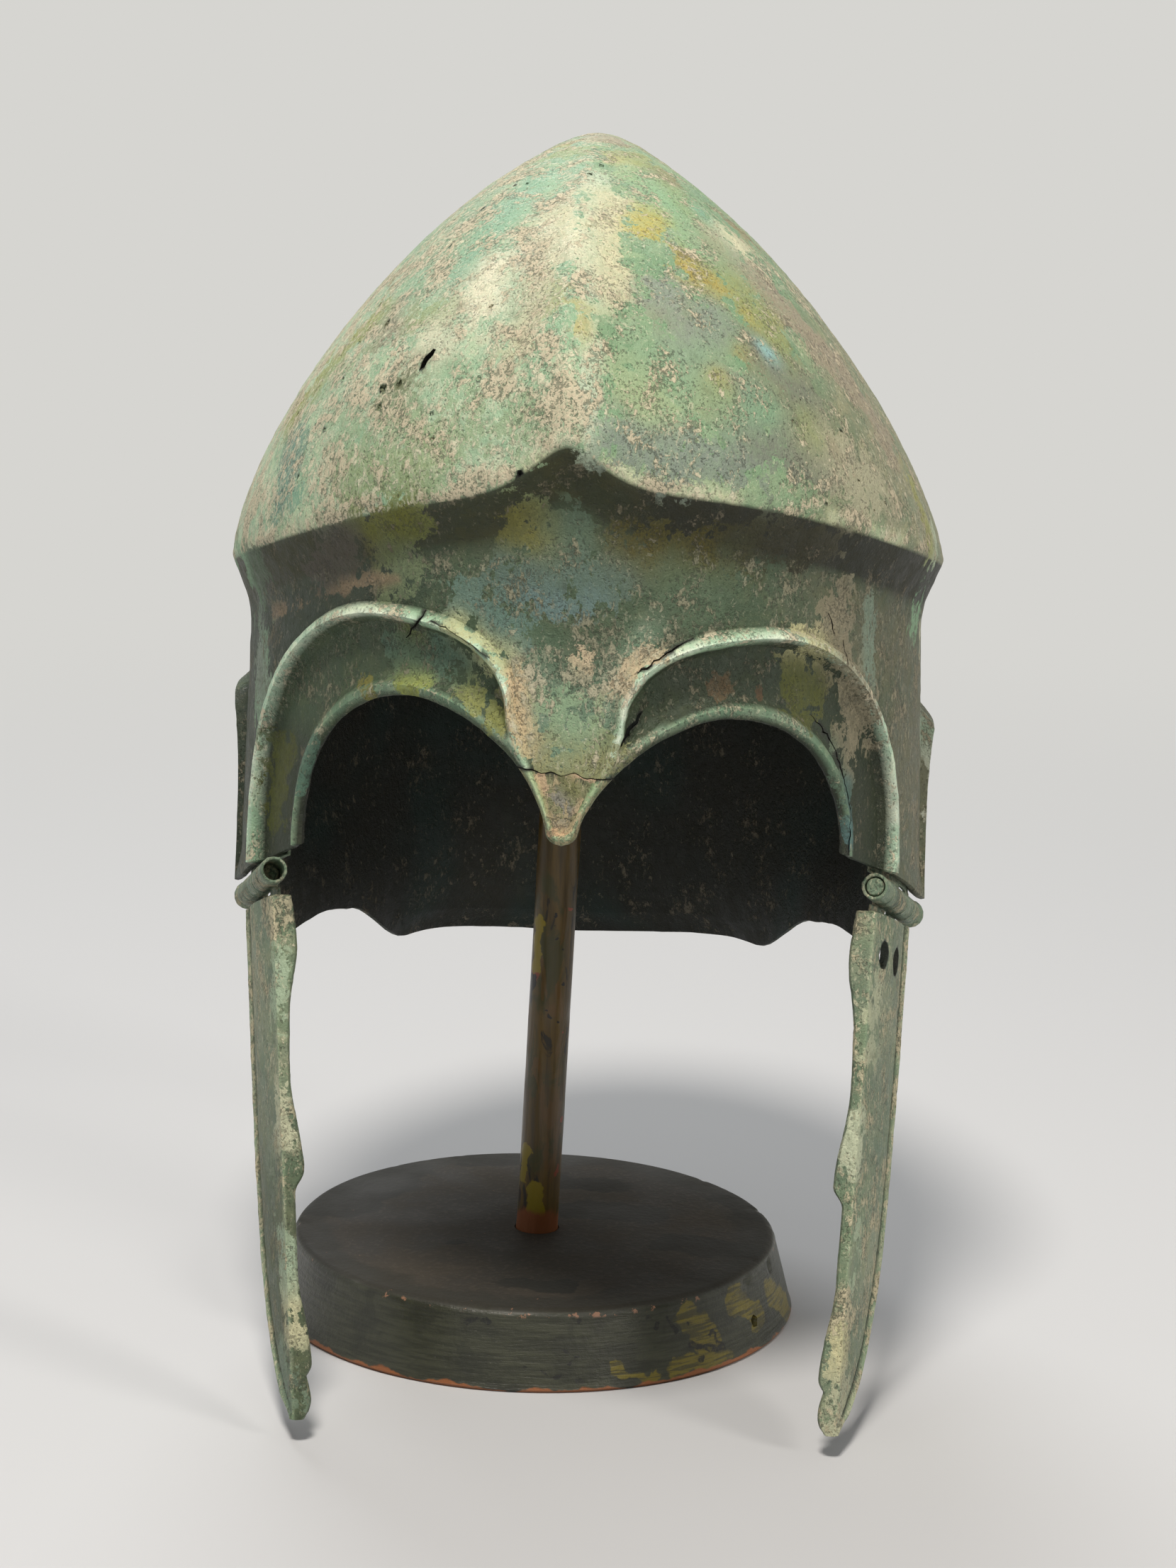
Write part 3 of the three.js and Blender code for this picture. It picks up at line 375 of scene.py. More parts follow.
def disc_paint(tree):
    place = object_place(tree)
    x, y, height = object_axes(tree)
    brush = speckle(tree, object_place(tree, (1, 1, 12)), 13, 5, 0.62)
    soft = speckle(tree, place, 24, 4, 0.55)
    fine = speckle(tree, place, 1.6, 4, 0.6)
    wander = minus(tree, speckle(tree, place, 13, 4, 0.55), 0.5)
    on_top = ramp(tree, height, 20.6 * MM, 21.6 * MM)
    level = add_node(tree, "ShaderNodeCombineXYZ", {0: x, 1: y}).outputs[0]
    radius = vector_maths(tree, "LENGTH", level, output="Value")
    border = ramp(tree, plus(tree, radius, times(tree, wander, 22 * MM)), 56 * MM, 62 * MM)
    top = layered(
        tree, tint("2e2a22"), (ramp(tree, soft, 0.42, 0.62), "3d372d"),
        (ramp(tree, fine, 0.52, 0.62, 0.0, 0.3), "554e42"),
        # Dark paint blobs on the top, with a painted shadow at the left back
        (times(tree, strokes(tree, 12, 16, TOP_BLOBS_AND_SHADOW), 0.85), "1b1b13"),
        (times(tree, border, 0.75), "202017"),
    )
    yellow = times(tree, strokes(tree, 9, 14, YELLOW_STROKES), ramp(tree, brush, 0.42, 0.54, 0.25, 0.95))
    black = times(tree, strokes(tree, 5, 5, BLACK_STROKES), ramp(tree, fine, 0.4, 0.5, 0.5, 0.95))
    sides = layered(
        tree, tint("25271a"), (ramp(tree, brush, 0.36, 0.64), "37392a"),
        (ramp(tree, wander, 0.02, 0.1, 0.0, 0.5), "1c1e14"), (yellow, "6a601c"), (black, "0e0f0a"),
    )
    worn = plus(tree, speckle(tree, place, 5, 5, 0.7), times(tree, on_top, -0.12))
    worn = plus(tree, worn, ramp(tree, y, -50 * MM, -66 * MM, 0.0, 0.04))
    rim = times(tree, ramp(tree, height, 19.4 * MM, 20.2 * MM), ramp(tree, worn, 0.59, 0.62))
    raw = ramp(tree, plus(tree, height, times(tree, wander, 7 * MM)), 1.4 * MM, 0.9 * MM)
    colour = layered(tree, mixed(tree, on_top, sides, top), (rim, "8a6750"), (raw, "84502a"))
    rough = plus(tree, ramp(tree, soft, 0.3, 0.7, 0.3, 0.45), times(tree, on_top, 0.4))
    return colour, rough, plus(tree, times(tree, brush, 0.6), times(tree, fine, 0.4)), 0.5


coat(disc, finish("olive_paint", disc_paint))
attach(disc, "stand")
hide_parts("stand_disc")

# Rod
# A hand-planed dowel that stands in the disc with a slight lean. It has a brown-olive varnish that
# ran down before it dried, yellow paint patches and bare orange wood at its foot.

ROD_RINGS = 220
ROD_SIDES = 56
ROD_COVERED = 12.0
ROD_WAVE, ROD_RUN = 0.025, 0.03

# Paint runs on the rod: start and end, each a height above the disc's top and a turn from the
# front in degrees, and a radius
YELLOW_RUNS = (
    ((16, -55), (24, -50), 2.2), ((6, -8), (13, -12), 2.8), ((8, 14), (4, 10), 1.6),
    ((79, -52), (92, -48), 2.4), ((30, 150), (46, 165), 2.6),
)
RUST_RUNS = (
    ((76, -55), (79, -53), 1.8), ((2, 50), (34, 62), 1.0), ((60, 40), (96, 48), 0.6),
    ((40, -160), (58, -150), 1.0),
)
BLACK_RUNS = (
    ((70, -72), (75, -62), 2.0), ((66, -10), (63, 28), 0.6), ((84, 30), (74, 42), 0.6),
    ((95, 2), (88, 10), 0.5), ((50, 120), (58, 135), 1.2),
)

rod_profile = [(0, 0)] + [(ROD_RADIUS, ROD_LENGTH * i / ROD_RINGS) for i in range(ROD_RINGS + 1)]
rod = turned("rod", rod_profile + [(0, ROD_LENGTH)], ROD_SIDES, rod_foot, lean)
at = points_of(rod)
along = (at - np.array(rod_foot)) @ np.array(lean)
centre = np.array(rod_foot) + along[:, None] * np.array(lean)
outward = at - centre
runs = np.clip(roughen(at * [1, 1, 0.22], 5, 21), 0, 1) ** 2
free = smooth((along - ROD_TENON) / 2) * smooth((ROD_LENGTH - ROD_COVERED - along) / 3)
shape = 1 - ROD_WAVE * free * (1 + roughen(at * [1, 1, 0.1], 9, 22)) + ROD_RUN * runs * free
set_points(rod, centre + outward * shape[:, None])
shade_smooth(rod, 50)


def on_rod(height, turn):
    """A place on the rod's skin, from its height above the disc's top and its turn from the front."""
    middle = Vector(rod_foot) + Vector(lean) * (ROD_TENON + height)
    way = Vector((math.sin(math.radians(turn)), -math.cos(math.radians(turn)), 0))
    return tuple(middle + way * ROD_RADIUS)


def runs_on_rod(tree, shake, runs):
    return strokes(tree, 4, shake, [(on_rod(*a), on_rod(*b), radius) for a, b, radius in runs])


def rod_varnish(tree):
    height = object_axes(tree)[2]
    grain = speckle(tree, object_place(tree, (1, 1, 0.06)), 3, 5, 0.65)
    patches = speckle(tree, object_place(tree, (1, 1, 0.55)), 11, 5, 0.6, 0.6)
    drips = speckle(tree, object_place(tree, (1, 1, 0.3), (0.3, 0, 0)), 7, 4, 0.55, 1.0)
    bare = ramp(tree, plus(tree, height, times(tree, patches, 14 * MM)), 36 * MM, 33 * MM)
    colour = layered(
        tree, tint("44340f"), (ramp(tree, grain, 0.35, 0.65), "664f1b"),
        (ramp(tree, patches, 0.5, 0.62, 0.0, 0.8), "3c3c16"), (ramp(tree, drips, 0.6, 0.64), "221c0e"),
        (ramp(tree, drips, 0.42, 0.38, 0.0, 0.6), "6a4a1c"), (runs_on_rod(tree, 5, RUST_RUNS), "8a4020"),
        (runs_on_rod(tree, 5, YELLOW_RUNS), "8c7a0e"), (runs_on_rod(tree, 4, BLACK_RUNS), "14110a"),
        (bare, "8a5029"),
    )
    rough = ramp(tree, drips, 0.35, 0.65, 0.28, 0.5)
    return colour, rough, plus(tree, times(tree, grain, 0.4), drips), 0.35


varnish = finish("varnish", rod_varnish)
coat(rod, varnish)
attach(rod, "stand")
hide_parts("stand_rod")

# Rod head and its felt
# A domed wooden button on the rod's end, which carries the crown from inside. A disc of felt is
# glued over it, so that the bronze doesn't rest on wood.

HEAD_RADIUS = 18.0
HEAD_COLLAR_RADIUS = 10.0
HEAD_HEIGHT = 16.0
HEAD_SOCKET = 9.0
HEAD_STEEPNESS = 1.4
HEAD_BORE_REACH = 40.0
FELT_THICKNESS = 1.5
FELT_FUZZ = 0.1
HEAD_SIDES, HEAD_RINGS = 72, 14

RIM_HALF_WIDTH = 97.0
RIM_BACK_HEIGHT = 125.5
RIM_RISE = 43.6
RIM_RISE_POWER = 2.54
RIM_SKEW = 1.9
CROWN_HEIGHT = 248.0
CROWN_ROUND_SIDE = 1.42

head_foot = rod_end - lean * HEAD_SOCKET
head_top = rod_end + lean * HEAD_HEIGHT


def crown_drop(radius):
    """How far the crown has fallen at a distance out to the side of its top."""
    lift = (1 - (radius / RIM_HALF_WIDTH) ** CROWN_ROUND_SIDE) ** (1 / CROWN_ROUND_SIDE)
    side_height = RIM_BACK_HEIGHT + RIM_RISE * 0.5 ** RIM_RISE_POWER + RIM_SKEW
    return (CROWN_HEIGHT - side_height) * (1 - lift)


def dome(height):
    """Rings of the button's domed top, from its rim up to its middle."""
    radii = [HEAD_RADIUS * (1 - i / HEAD_RINGS) for i in range(HEAD_RINGS + 1)]
    return [(r, height - HEAD_STEEPNESS * crown_drop(r)) for r in radii]


head_profile = [(0, 0), (4, 0), (7, 0), (9.4, 0.2), (HEAD_COLLAR_RADIUS, 0.8), (11.4, 2.2), (14, 4.8)]
head_profile += [(16.6, 7.4), (17.7, 8.8), (HEAD_RADIUS, 10)]
head_profile += dome(HEAD_HEIGHT + HEAD_SOCKET)
rod_head = turned("head_button", head_profile, HEAD_SIDES, head_foot, lean)
bore_end = HEAD_BORE_REACH + HEAD_SOCKET + FIT_GAP
bore = [(0, 0), (ROD_RADIUS + FIT_GAP, 0), (ROD_RADIUS + FIT_GAP, bore_end), (0, bore_end)]
cut(rod_head, turned("bore", bore, HEAD_SIDES, head_foot - lean * HEAD_BORE_REACH, lean))
shade_smooth(rod_head, 50)
coat(rod_head, varnish)
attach(rod_head, "stand")
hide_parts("rod_head")

felt_base = HEAD_HEIGHT + HEAD_SOCKET + FIT_GAP
inside_dome = dome(felt_base)[::-1]
felt_cap = turned("felt_cap", inside_dome + dome(felt_base + FELT_THICKNESS), HEAD_SIDES, head_foot, lean)
at = points_of(felt_cap)
at += normals_of(felt_cap) * (FELT_FUZZ * roughen(at, 1.8, 31) - FELT_FUZZ)[:, None]
set_points(felt_cap, at)
shade_smooth(felt_cap, 60)


def felt_weave(tree):
    place = object_place(tree)
    matted = speckle(tree, place, 2.6, 6, 0.75, 1.2)
    hairs = speckle(tree, object_place(tree, (1, 3, 1)), 0.7, 4, 0.7, 2.0)
    colour = mixed(tree, ramp(tree, matted, 0.35, 0.65), tint("26302a"), tint("42503f"))
    rough = ramp(tree, hairs, 0.3, 0.7, 0.85, 1.0)
    return colour, rough, plus(tree, matted, hairs), 0.3


coat(felt_cap, finish("green_felt", felt_weave))
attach(felt_cap, "stand")
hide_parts("felt_pad")

# Bowl
# One sheet of bronze, hammered up to a crown with a low keel. A ridge runs round its foot and
# peaks over the nose. Below it the wall carries two raised arches over the eyes and the nasal.

CROWN_THICKNESS = 2.4
WALL_THICKNESS = 1.8
SLANT_ALLOWANCE = 1.08
CROWN_SETBACK = 15.0
CROWN_ROUND_FRONT = 1.85
CROWN_ROUND_FOCUS = 2.2
CROWN_SHIFT = -1.4
KEEL_HEIGHT = 2.3
KEEL_SPREAD = 8.5
RIM_FRONT = 111.5
RIM_BACK = 119.0
BROW_PEAK_RISE = 11.6
BROW_PEAK_SPREAD = 7.2
BROW_PEAK_ROUND = 1.6
BROW_PEAK_AT = -2.9
BEVEL_DEPTH = 5.5
BEVEL_DROP = 13.0
BROW_BEVEL_EXTRA = 2.5
CREASE_SHARE = 0.4

WALL_FLARE = 0.04
WALL_FLARE_TOP = 121.0
NOSE_LEAN = 0.105
NOSE_LEAN_TOP = 148.0
NAPE_TAPER = 13.0
NAPE_TAPER_TOP = 63.0
NAPE_TAPER_DROP = 50.0
NAPE_TAPER_START = 80.0
NAPE_TAPER_SPAN = 40.0
NAPE_HOLLOW = 4.0

ARCH_TOP = (RIM_HALF_WIDTH * 0.4536, 134.5)
ARCH_NOSE = (12.5, 112.0)
ARCH_STRUT_X = RIM_HALF_WIDTH * 0.876
ARCH_RISE_ROUND = 2.25
ARCH_FALL_ROUND = 2.4
OPENING_TOP = (RIM_HALF_WIDTH * 0.402, 112.0)
OPENING_STRUT_X = RIM_HALF_WIDTH * 0.732
OPENING_RISE_ROUND = 1.7
OPENING_FALL_ROUND = 2.1
NASAL_TIP_HEIGHT = 79.5
NASAL_END_HALF_WIDTH = 3.3
NASAL_END_ROUND = 2.8
NASAL_RIM_WIDTH = 3.7
NASAL_FIELD_HALF_WIDTH = 1.6
NASAL_FIELD_ROUND = 1.5
NASAL_EDGE_SHARE = 0.56
NASAL_RIM_SHARE = 0.5
NASAL_RIM_SPAN = 1.9
NASAL_BLEND = 7.0
ROLL_HEIGHT = 3.2
ROLL_WIDTH = 4.8
BAND_DEPTH = 1.9
BAND_SHOULDER = 3.0
BEAD_HEIGHT = 1.3
BEAD_WIDTH = 4.2
RIDGE_SPREAD = 0.62
RIDGE_FOOT = 0.7
RELIEF_BEHIND = 0.7
FACE_SHIFT = -4.0
FACE_SHIFT_LOST = 0.5
ARCH_SKEW = 1.5

EAR_FRONT = -15.0
EAR_TOP = (6.0, 91.5)
EAR_SKEW = 2.5
EAR_BACK = 27.0
EAR_RISE_ROUND = 2.6
EAR_FALL_ROUND = 2.8
EAR_LOBE_HEIGHT = 17.0
EAR_LOBE_SWELL = 2.5
EAR_FLARE = 4.6
EDGE_FLARE_WIDTH = 9.0
EAR_FLARE_REACH = 34.0
NAPE_NOTCH_ANGLE = 122.0
NAPE_STEP_ANGLE = 141.0
NAPE_SIDE_HEIGHT = 1.5
NAPE_CENTRE_HEIGHT = -3.0
NAPE_EDGE_FLARE = 5.0
NAPE_FLARE_BLEND = 20.0

HINGE_FRONT = (-64.0, 59.0)
HINGE_REAR = (-21.0, 40.7)
BARREL_RADIUS = 3.6
EDGE_ABOVE_BARREL = 1.5
SEAT_GAP = 0.5

# Steps along the nasal, arch, strut, hinge edge, ear, lobe and nape, and rows down the sheet. The
# powers draw columns and rows together where the sheet bends most.
NASAL_STEPS, ARCH_STEPS, STRUT_STEPS = 26, 36, 54
HINGE_STEPS, EAR_STEPS, LOBE_STEPS, NAPE_STEPS = 16, 24, 16, 28
CROWN_ROWS, BEVEL_ROWS, WALL_ROWS, BAND_ROWS = 84, 8, 26, 18
NASAL_ROLL_POWER, NASAL_EDGE_POWER = 2.0, 1.1
FACE_COLUMN_POWER, REAR_COLUMN_POWER = 1.25, 1.1
CROWN_ROW_POWER, BEVEL_ROW_POWER, WALL_ROW_POWER = 0.9, 1.2, 1.5
CREASE_ROWS, CREASE_PASSES, CREASE_EASE = 1.4, 4, 0.5
RIM_BULGE = 0.35

# How far down the sheet a point lies: each zone's own level, plus its share of that zone. Metal
# that a hole or crack lays bare has no level.
DOME, BEVEL, WALL, BAND = 1.0, 2.0, 3.0, 4.0

felt_top = head_top + lean * (FIT_GAP + FELT_THICKNESS)
HELMET_AT = np.array((
    felt_top.x, -CROWN_SETBACK, felt_top.z + SEAT_GAP - (CROWN_HEIGHT - CROWN_THICKNESS),
))


def stacked(*parts):
    """Points from their coordinates, each an array or one number for all."""
    return np.stack(np.broadcast_arrays(*parts), -1).astype(float)


def outward_at(angle):
    """The level direction at an angle round the helmet, from the front towards its left."""
    turn = np.radians(angle)
    return stacked(np.sin(turn), -np.cos(turn), 0.0)


def wall_radii(angle, height):
    """The wall's half width and its reach to the front or back, at a height."""
    behind = smooth((np.abs(angle) - NAPE_TAPER_START) / NAPE_TAPER_SPAN)
    taper = NAPE_TAPER * smooth((NAPE_TAPER_TOP - height) / NAPE_TAPER_DROP) * behind
    side = RIM_HALF_WIDTH - BEVEL_DEPTH + WALL_FLARE * np.maximum(0, WALL_FLARE_TOP - height) - taper
    front = RIM_FRONT - BEVEL_DEPTH + NOSE_LEAN * (NOSE_LEAN_TOP - height)
    back = RIM_BACK - BEVEL_DEPTH - NAPE_HOLLOW * hump((height - NAPE_TAPER_TOP) / NAPE_TAPER_TOP)
    return side, np.where(np.abs(angle) < 90, front, back)


def wall_point(angle, height):
    side, depth = wall_radii(angle, height)
    turn = np.radians(angle)
    return stacked(side * np.sin(turn), -depth * np.cos(turn), height)


def angle_at_x(x, height):
    return math.degrees(math.asin(max(-1, min(1, x / wall_radii(0, height)[0]))))


def angle_at_y(y, height):
    depth = wall_radii(0 if y < 0 else 180, height)[1]
    return math.degrees(math.acos(max(-1, min(1, -y / depth))))


def keel(angle):
    """How far the ridge stands out over the nose, where the keel meets it."""
    return KEEL_HEIGHT * np.exp(-np.abs(angle - BROW_PEAK_AT) / KEEL_SPREAD)


def rim_height(angle):
    peak = BROW_PEAK_RISE * np.exp(-((np.abs(angle - BROW_PEAK_AT) / BROW_PEAK_SPREAD) ** BROW_PEAK_ROUND))
    turn = np.radians(angle)
    rise = RIM_RISE * ((1 + np.cos(turn)) / 2) ** RIM_RISE_POWER
    return RIM_BACK_HEIGHT + rise + peak + RIM_SKEW * np.sin(turn)


def rim_point(angle):
    depth = np.where(np.abs(angle) < 90, RIM_FRONT, RIM_BACK)
    turn = np.radians(angle)
    point = stacked(RIM_HALF_WIDTH * np.sin(turn), -depth * np.cos(turn), rim_height(angle))
    return point + outward_at(angle) * keel(angle)[:, None]


def foot_height(angle):
    """The height where the bevel below the ridge meets the wall."""
    share = np.exp(-(((angle - BROW_PEAK_AT) / (2 * BROW_PEAK_SPREAD)) ** 2))
    return rim_height(angle) - BEVEL_DROP - BROW_BEVEL_EXTRA * share


def crown_point(angle, share):
    """A point on the crown, from its top at share 0 to the ridge at share 1."""
    rim = rim_point(angle)
    forward = np.abs(np.cos(np.radians(angle))) ** CROWN_ROUND_FOCUS
    power = mix(CROWN_ROUND_SIDE, CROWN_ROUND_FRONT, forward)
    turn = share * math.pi / 2
    reach = math.sin(turn) ** (2 / power)
    lift = max(0.0, math.cos(turn)) ** (2 / power)
    x = rim[:, 0] * reach + CROWN_SHIFT * math.sin(math.pi * share)
    return stacked(x, mix(CROWN_SETBACK, rim[:, 1], reach), mix(rim[:, 2], CROWN_HEIGHT, lift))


def quarter_point(start, end, power, share, flat_first):
    turn = share * math.pi / 2
    slow = 1 - max(0.0, math.cos(turn)) ** (2 / power)
    fast = math.sin(turn) ** (2 / power)
    a, b = (fast, slow) if flat_first else (slow, fast)
    return mix(start[0], end[0], a), mix(start[1], end[1], b)


def quarter(start, end, power, count, flat_first):
    """Points along a quarter of a superellipse."""
    return [quarter_point(start, end, power, i / count, flat_first) for i in range(count + 1)]


def closed(point, low, height):
    """Rounds a blunt end: near its low point a line closes on the face's middle."""
    part = min(1.0, max(0.0, (point[1] - low) / height))
    return point[0] * math.sqrt(1 - (1 - part) ** 2), point[1]


def hinge_line(y):
    """The height of the bowl's edge above the hinge's barrel."""
    slope = (HINGE_REAR[1] - HINGE_FRONT[1]) / (HINGE_REAR[0] - HINGE_FRONT[0])
    clear = (BARREL_RADIUS + EDGE_ABOVE_BARREL) * math.hypot(1, slope)
    return HINGE_FRONT[1] + slope * (y - HINGE_FRONT[0]) + clear


def face_x(x, side):
    return side * x + FACE_SHIFT * (1 - FACE_SHIFT_LOST * float(smooth(x / ARCH_STRUT_X)))


def strut_foot(x, side):
    angle = angle_at_x(face_x(x, side), HINGE_FRONT[1])
    return x, hinge_line(wall_point(angle, HINGE_FRONT[1])[1])


def roll_line(side):
    """The line of the arch's roll, up the nasal, over the eye and down the strut."""
    low = (NASAL_FIELD_HALF_WIDTH, NASAL_TIP_HEIGHT + NASAL_RIM_WIDTH)
    nose = []
    for i in range(NASAL_STEPS):
        t = (i / NASAL_STEPS) ** NASAL_ROLL_POWER
        point = mix(low[0], ARCH_NOSE[0], t), mix(low[1], ARCH_NOSE[1], t)
        nose.append(closed(point, low[1], NASAL_FIELD_ROUND))
    rise = quarter(ARCH_NOSE, ARCH_TOP, ARCH_RISE_ROUND, ARCH_STEPS, False)
    fall = quarter(ARCH_TOP, strut_foot(ARCH_STRUT_X, side), ARCH_FALL_ROUND, STRUT_STEPS, True)
    return nose + rise + fall[1:]


def opening_line(side):
    """The edge of the eye's opening, point for point beside the roll."""
    tip = (NASAL_END_HALF_WIDTH, NASAL_TIP_HEIGHT)
    rise = []
    for i in range(NASAL_STEPS + ARCH_STEPS + 1):
        nose = NASAL_EDGE_SHARE * (i / NASAL_STEPS) ** NASAL_EDGE_POWER
        arch = mix(NASAL_EDGE_SHARE, 1, (i - NASAL_STEPS) / ARCH_STEPS)
        point = quarter_point(tip, OPENING_TOP, OPENING_RISE_ROUND, nose if i < NASAL_STEPS else arch, False)
        rise.append(closed(point, NASAL_TIP_HEIGHT, NASAL_END_ROUND))
    fall = quarter(OPENING_TOP, strut_foot(OPENING_STRUT_X, side), OPENING_FALL_ROUND, STRUT_STEPS, True)
    return rise + fall[1:]


def face_place(point, side):
    """The angle and height of a point of the face's drawing, with the helmet's skew."""
    x, height = point
    strut_top = hinge_line(HINGE_FRONT[0]) + ARCH_NOSE[0]
    skewed = float(smooth(x / ARCH_NOSE[0]) * smooth((height - strut_top) / ARCH_NOSE[0]))
    z = height - side * ARCH_SKEW * skewed
    return angle_at_x(face_x(x, side), z), z


def lower_line(side):
    """The bowl's lower edge behind the strut: hinge, ear, lobe, notch and nape."""
    angle, height = face_place(strut_foot(ARCH_STRUT_X, side), side)
    start = (wall_point(angle, height)[1], height)
    front = (EAR_FRONT, hinge_line(EAR_FRONT))
    edge = [(mix(start[0], front[0], i / HINGE_STEPS), mix(start[1], front[1], i / HINGE_STEPS))
            for i in range(1, HINGE_STEPS + 1)]
    crest = (EAR_TOP[0], EAR_TOP[1] - side * EAR_SKEW)
    edge += quarter(front, crest, EAR_RISE_ROUND, EAR_STEPS, False)[1:]
    edge += quarter(crest, (EAR_BACK, EAR_LOBE_HEIGHT), EAR_FALL_ROUND, EAR_STEPS, True)[1:]
    line = [(angle_at_y(y, height), height) for y, height in edge]
    lobe = line[-1][0]
    for i in range(1, LOBE_STEPS + 1):
        t = i / LOBE_STEPS
        swell = EAR_LOBE_SWELL * math.sin(t * math.pi)
        line.append((mix(lobe, NAPE_NOTCH_ANGLE, t), EAR_LOBE_HEIGHT + swell))
    for i in range(1, NAPE_STEPS + 1):
        angle = mix(NAPE_NOTCH_ANGLE, 180, i / NAPE_STEPS)
        step = float(smooth((angle - NAPE_NOTCH_ANGLE) / (NAPE_STEP_ANGLE - NAPE_NOTCH_ANGLE)))
        beside = mix(EAR_LOBE_HEIGHT, NAPE_SIDE_HEIGHT, step)
        inward = float(smooth((angle - NAPE_STEP_ANGLE) / (180 - NAPE_STEP_ANGLE)))
        line.append((angle, mix(beside, NAPE_CENTRE_HEIGHT, inward)))
    return [(side * angle, height) for angle, height in line]


def side_columns(side):
    """Where each column meets the ridge, the arch or lower edge and the opening, and its ear flare."""
    roll, opening, lower = roll_line(side), opening_line(side), lower_line(side)
    crest = face_place(roll[-1], side)[0]
    columns = []
    for i, (low, edge) in enumerate(zip(roll, opening)):
        share = i / (len(roll) - 1)
        top = crest * share ** FACE_COLUMN_POWER
        columns.append((top, *face_place(low, side), *face_place(edge, side), 0.0, True))
    for i, (angle, height) in enumerate(lower):
        share = (i + 1) / len(lower)
        ear = float(hump((wall_point(angle, height)[1] - EAR_TOP[0]) / EAR_FLARE_REACH))
        top = mix(crest, side * 180, share ** REAR_COLUMN_POWER)
        columns.append((top, angle, height, 0.0, 0.0, ear, False))
    return columns


def arch_relief(from_roll, from_edge):
    """How far the face stands out, by the distances from the arch's roll and from the opening."""
    width = from_roll + from_edge
    full = smooth((width - NASAL_RIM_WIDTH) / NASAL_BLEND)
    roll = ROLL_HEIGHT * hump((from_roll - ROLL_WIDTH / 2) / (ROLL_WIDTH * RIDGE_SPREAD))
    bead = BEAD_HEIGHT * hump((from_edge - BEAD_WIDTH / 2) / (BEAD_WIDTH * RIDGE_SPREAD))
    sunk = smooth((from_roll - ROLL_WIDTH * RIDGE_FOOT) / BAND_SHOULDER)
    sunk = sunk * smooth((from_edge - BEAD_WIDTH * RIDGE_FOOT) / BAND_SHOULDER)
    rim = NASAL_RIM_SHARE * ROLL_HEIGHT * hump((from_roll / width - 0.5) * NASAL_RIM_SPAN)
    return mix(rim, roll + bead - BAND_DEPTH * sunk, full)


def shell(name, outer, inner, faces, inner_faces, behind, marks):
    """Joins an outer and an inner skin along their free edges with a rounded rim.

    The marks are values for each point of both skins, kept on the mesh for its colours.
    """
    outer, inner = np.asarray(outer), np.asarray(inner)
    edges = {}
    for face in faces:
        for a, b in zip(face, face[1:] + face[:1]):
            edges[(a, b)] = True
    free = [(a, b) for a, b in edges if (b, a) not in edges]
    away = {}
    for a, b in free:
        thick = outer[a] - inner[behind[a]]
        push = np.cross(outer[b] - outer[a], thick)
        push = push / max(np.linalg.norm(push), 1e-9)
        for v in (a, b):
            away[v] = away.get(v, 0) + push
    count = len(outer)
    middle, rim = {}, []
    for v, push in away.items():
        middle[v] = count + len(inner) + len(rim)
        push = push / max(np.linalg.norm(push), 1e-9)
        rim.append((outer[v] + inner[behind[v]]) / 2 + push * RIM_BULGE)
    all_faces = [tuple(f) for f in faces]
    all_faces += [tuple(count + v for v in reversed(f)) for f in inner_faces]
    for a, b in free:
        all_faces.append((b, a, middle[a], middle[b]))
        all_faces.append((middle[b], middle[a], count + behind[a], count + behind[b]))
    piece = mesh_piece(name, np.concatenate((outer, inner, rim)), all_faces)
    for label, (outside, inside) in marks.items():
        between = [(outside[v] + inside[behind[v]]) / 2 for v in away]
        keep(piece, label, np.concatenate((outside, inside, between)))
    return piece


def keep(piece, label, values):
    """Stores a value, or a colour with its alpha, at each point of a mesh."""
    values = np.asarray(values, float)
    kind, field = ("FLOAT", "value") if values.ndim == 1 else ("FLOAT_COLOR", "color")
    layer = piece.data.attributes.get(label) or piece.data.attributes.new(label, kind, "POINT")
    layer.data.foreach_set(field, values.ravel())


def kept_marks(piece, label):
    values = np.zeros(len(piece.data.vertices))
    layer = piece.data.attributes.get(label)
    if layer:
        layer.data.foreach_get("value", values)
    return values


